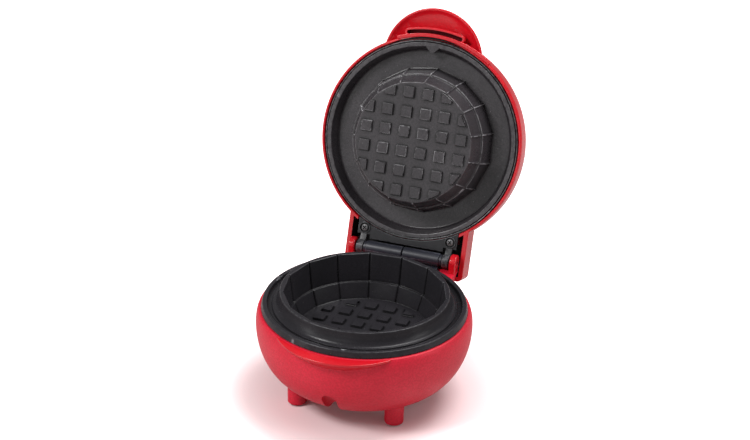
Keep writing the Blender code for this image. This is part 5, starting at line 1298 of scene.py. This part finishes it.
cover = {
    "edge": 0.0004, "grooveOut": 0.0018, "groove": 0.0025, "grooveIn": 0.003, "grooveDepth": 0.0003,
    "grooveRound": 0.0001, "grooveEdge": 0.0002, "rib": 0.0016, "ribIn": 0.0005,
    "ribRound": 0.0003, "postRing": 0.026, "postRadius": 0.0046, "postFrom": 0.001,
    "bore": 0.0017, "reflector": 0.02714, "steps": 120,
}
coverScrew = {
    "radius": 0.0029, "height": 0.0018, "crownShare": 0.6, "crown": 0.00005, "edge": 0.0005,
    "shank": 0.0014, "shankTop": 0.0345, "top": 0.0355, "steps": 48,
    "cross": {"reach": 0.0017, "half": 0.00035, "depth": 0.001},
}


def makePads():
    radius, thick, dish = pad["radius"], pad["thick"], pad["dish"]
    for name, place in feet["places"].items():
        bm = shifted(spun([
            (0, dish), (radius * pad["dishShare"], dish), (radius * pad["dishEdge"], 0),
            (radius, 0, pad["round"]), (radius, thick, pad["topRound"]), (0, thick),
        ], pad["steps"]), place)
        settle(workpiece(f"pad_{name}", bm, padRubber), "base", "pad_rubber", f"foot_pad_{name}")


def makeCover():
    low, radius = level["floor"] + well["depth"], well["radius"] - gap
    top, ribOut = low + well["coverThick"], well["radius"] - well["ledge"] - cover["ribIn"]
    ribIn, ribTop = ribOut - cover["rib"], top + cover["rib"]
    body = workpiece("underside_cover", spun([
        (0, low), (radius - cover["grooveIn"], low),
        (radius - cover["groove"], low + cover["grooveDepth"], cover["grooveRound"]),
        (radius - cover["grooveOut"], low, cover["grooveEdge"]), (radius, low, cover["edge"]),
        (radius, top), (ribOut, top), (ribOut, ribTop, cover["ribRound"]),
        (ribIn, ribTop, cover["ribRound"]), (ribIn, top), (0, top),
    ], cover["steps"]), coverRed)
    posts, seats, bores = bmesh.new(), bmesh.new(), bmesh.new()
    size, start, end = coverScrew, low + cover["postFrom"], cover["reflector"]
    head, seat = low + size["height"], size["radius"] + gap
    places = threeOn(cover["postRing"], 90.0)
    for place in places:
        addRod(posts, cover["postRadius"], place + upBy(start), place + upBy(end - gap))
        addRod(seats, seat, place + upBy(low - spare), place + upBy(head + gap))
        addRod(bores, cover["bore"], place + upBy(start), place + upBy(end + spare))
    join(body, posts)
    carve(body, seats)
    carve(body, bores)
    settle(body, "base", "red_shell", "bottom_cover")
    for index, place in enumerate(places, 1):
        bm = shifted(spun([
            (0, low), (size["radius"] * size["crownShare"], low + size["crown"]),
            (size["radius"], low + size["edge"], size["edge"]), (size["radius"], head),
            (size["shank"], head), (size["shank"], size["shankTop"]), (0, size["top"]),
        ], size["steps"]), place)
        screw = workpiece(f"cover_screw_fine_{index}", bm, sheetSteel)
        carve(screw, crossCutter(place, low, size["cross"]))
        settle(screw, "base", "bright_steel", f"cover_screw_{index}")


def makeBush():
    tail, radius, flange, bore = bush["tail"], bush["radius"], bush["flangeRadius"], bush["bore"]
    bm = spun([
        (bore, -tail), (radius, -tail, bush["edge"]), (radius, gap), (flange, gap, bush["edge"]),
        (flange, bush["flangeTop"], bush["flangeRound"]),
        (bore + bush["mouthWall"], bush["mouthTop"], bush["mouthRound"]),
        (bore, bush["boreTop"], bush["mouthRound"]),
    ], bush["steps"])
    sleeve = workpiece("bush_sleeve", stood(bm, *bushAxis()), mattBlack)
    settle(sleeve, "base", "black_plastic", "cord_bush")


makePads()
makeCover()
makeBush()


# ---- indicator on the front of the dome

def makeLens():
    head, stem, radius = lens["head"], lens["stem"], lens["radius"]
    bm = spun([
        (0, -stem), (radius, -stem, lens["stemRound"]), (radius, gap),
        (head, gap, lens["headRound"]), (head, gap + lens["headEdge"], lens["headRound"]),
        *[(head * out, lens["rise"] * rise) for out, rise in lens["crown"]],
    ], lens["steps"])
    cap = workpiece("lens_dome", stood(bm, *lensFrame()), amberClear)
    settle(cap, "lid", "amber_lens", "indicator_lens")


makeLens()

# the pieces shut away inside keep their solids and take a finish of their own
inner = {
    sheetSteel: (
        "lower_heat_reflector", "upper_heat_reflector", "thermostat", "thermal_fuse",
        "upper_reflector_screw",
    ),
    dullTube: ("lower_heating_element", "upper_heating_element"),
    nylon: ("terminal_block", "indicator_lamp"),
    mattBlack: ("lamp_holder",),
    wireSleeve: ("base_wire", "lid_wire"),
}
for material, starts in inner.items():
    for name, node in frame["nodes"].items():
        if name.startswith(starts):
            if not node.material_slots:
                node.data.materials.append(material)
            for socket in node.material_slots:
                socket.material = material
print("object ready")


# ---- studio

studio = {
    # painted shade: the floor's pink tone shows only in its shadow, standing in for the red bowl's
    # bounce; floorUnseen is the darker colour that every ray but the camera's sees
    "floor": (0.96, 0.79, 0.80), "floorUnseen": (0.62, 0.55, 0.55), "patchShade": 0.985,
    "patchScale": 3.0, "rough": 0.3, "shine": 0.5, "ambient": 0.24, "size": 12.0,
    # painted light: how the floor's glow for the camera grows with the distance from the middle of
    # the bowl, so that the shadow stays only near the bowl
    "glow": {"fromLow": 0.05, "fromHigh": 0.133, "toLow": 0.0, "toHigh": 1.0},
    "lamps": [
        # name, place, aim, width, height, watts
        ("key", (-0.75, -0.8, 1.15), (0, 0, 0.08), 0.4, 0.4, 15.0),
        ("side", (1.25, 0.0, 0.6), (0, 0, 0.1), 0.3, 0.9, 4.0),
        ("top", (0.4, 0.35, 1.45), (0, 0, 0.05), 0.8, 0.8, 20.0),
        ("left", (-1.35, -1.1, 0.35), (0, 0, 0.06), 0.5, 0.8, 4.0),
        ("front", (-0.45, -1.75, 0.5), (0, 0, 0.1), 1.1, 0.5, 2.2),
    ],
}
view = {
    # the angles are in degrees
    "turn": 18.8, "rise": 26.7, "roll": 1.53, "distance": 1.274, "lens": 104.53,
    "sensor": 36.0, "aim": (0.0051, -0.0377, 0.1152), "near": 0.05, "far": 60.0,
}
white = (1, 1, 1, 1)


def makeGround():
    bm = bmesh.new()
    bmesh.ops.create_grid(bm, x_segments=2, y_segments=2, size=studio["size"])
    material = bpy.data.materials.new("paleFloor")
    material.use_nodes = True
    ground = workpiece("ground", bm, material)
    tree = material.node_tree
    shader = tree.nodes["Principled BSDF"]
    place = tree.nodes.new("ShaderNodeTexCoord").outputs["Object"]
    patches = rangeNode(tree, noiseNode(tree, place, studio["patchScale"], 2.0), 0.3, 0.7)
    tone, unseen = studio["floor"], (*studio["floorUnseen"], 1)
    shade = [part * studio["patchShade"] for part in tone]
    seenTone = mixNode(tree, patches, (*tone, 1), (*shade, 1))
    seen = tree.nodes.new("ShaderNodeLightPath").outputs["Is Camera Ray"]
    away = tree.nodes.new("ShaderNodeVectorMath")
    away.operation = "DISTANCE"
    feed(tree, away.inputs[0], place)
    feed(tree, away.inputs[1], homes["base"].translation)
    # painted light: the floor glows for the camera, more away from the bowl
    glow = rangeNode(tree, away.outputs["Value"], **studio["glow"])
    for label, value in (
        ("Base Color", mixNode(tree, seen, unseen, seenTone)), ("Roughness", studio["rough"]),
        ("Specular IOR Level", studio["shine"]), ("Emission Color", white),
        ("Emission Strength", mathNode(tree, "MULTIPLY", seen, glow)),
    ):
        feed(tree, shader.inputs[label], value)


def makeWorld():
    world = bpy.data.worlds.new("studioWorld")
    bpy.context.scene.world = world
    world.use_nodes = True
    tree = world.node_tree
    background = tree.nodes["Background"]
    seen = tree.nodes.new("ShaderNodeLightPath").outputs["Is Camera Ray"]
    light = rangeNode(tree, seen, 0.0, 1.0, studio["ambient"], 1.0)
    feed(tree, background.inputs["Strength"], light)
    feed(tree, background.inputs["Color"], white)


def makeLamps():
    for name, spot, aim, width, height, watts in studio["lamps"]:
        lamp = bpy.data.lights.new(name, "AREA")
        lamp.shape, lamp.size, lamp.size_y, lamp.energy = "RECTANGLE", width, height, watts
        holder = bpy.data.objects.new(name, lamp)
        holder.location = spot
        holder.rotation_euler = (Vector(aim) - Vector(spot)).to_track_quat("-Z", "Y").to_euler()
        bpy.context.scene.collection.objects.link(holder)


def makeCamera():
    # stands where the photograph was taken from
    turn, rise, roll = (math.radians(view[key]) for key in ("turn", "rise", "roll"))
    flat = math.cos(rise)
    back = Vector((math.sin(turn) * flat, -math.cos(turn) * flat, math.sin(rise)))
    right = Vector((math.cos(turn), math.sin(turn), 0))
    upward = back.cross(right)
    rolledRight = right * math.cos(roll) + upward * math.sin(roll)
    rolledUp = upward * math.cos(roll) - right * math.sin(roll)
    eye = Vector(view["aim"]) + back * view["distance"]
    data = bpy.data.cameras.new("photoCamera")
    data.lens, data.sensor_width = view["lens"], view["sensor"]
    data.clip_start, data.clip_end = view["near"], view["far"]
    camera = bpy.data.objects.new("photoCamera", data)
    camera.matrix_world = Matrix((
        (rolledRight.x, rolledUp.x, back.x, eye.x), (rolledRight.y, rolledUp.y, back.y, eye.y),
        (rolledRight.z, rolledUp.z, back.z, eye.z), (0, 0, 0, 1),
    ))
    bpy.context.scene.collection.objects.link(camera)
    bpy.context.scene.camera = camera


makeGround()
makeWorld()
makeLamps()
makeCamera()
bpy.context.scene.view_settings.view_transform = "Standard"
print("studio ready")
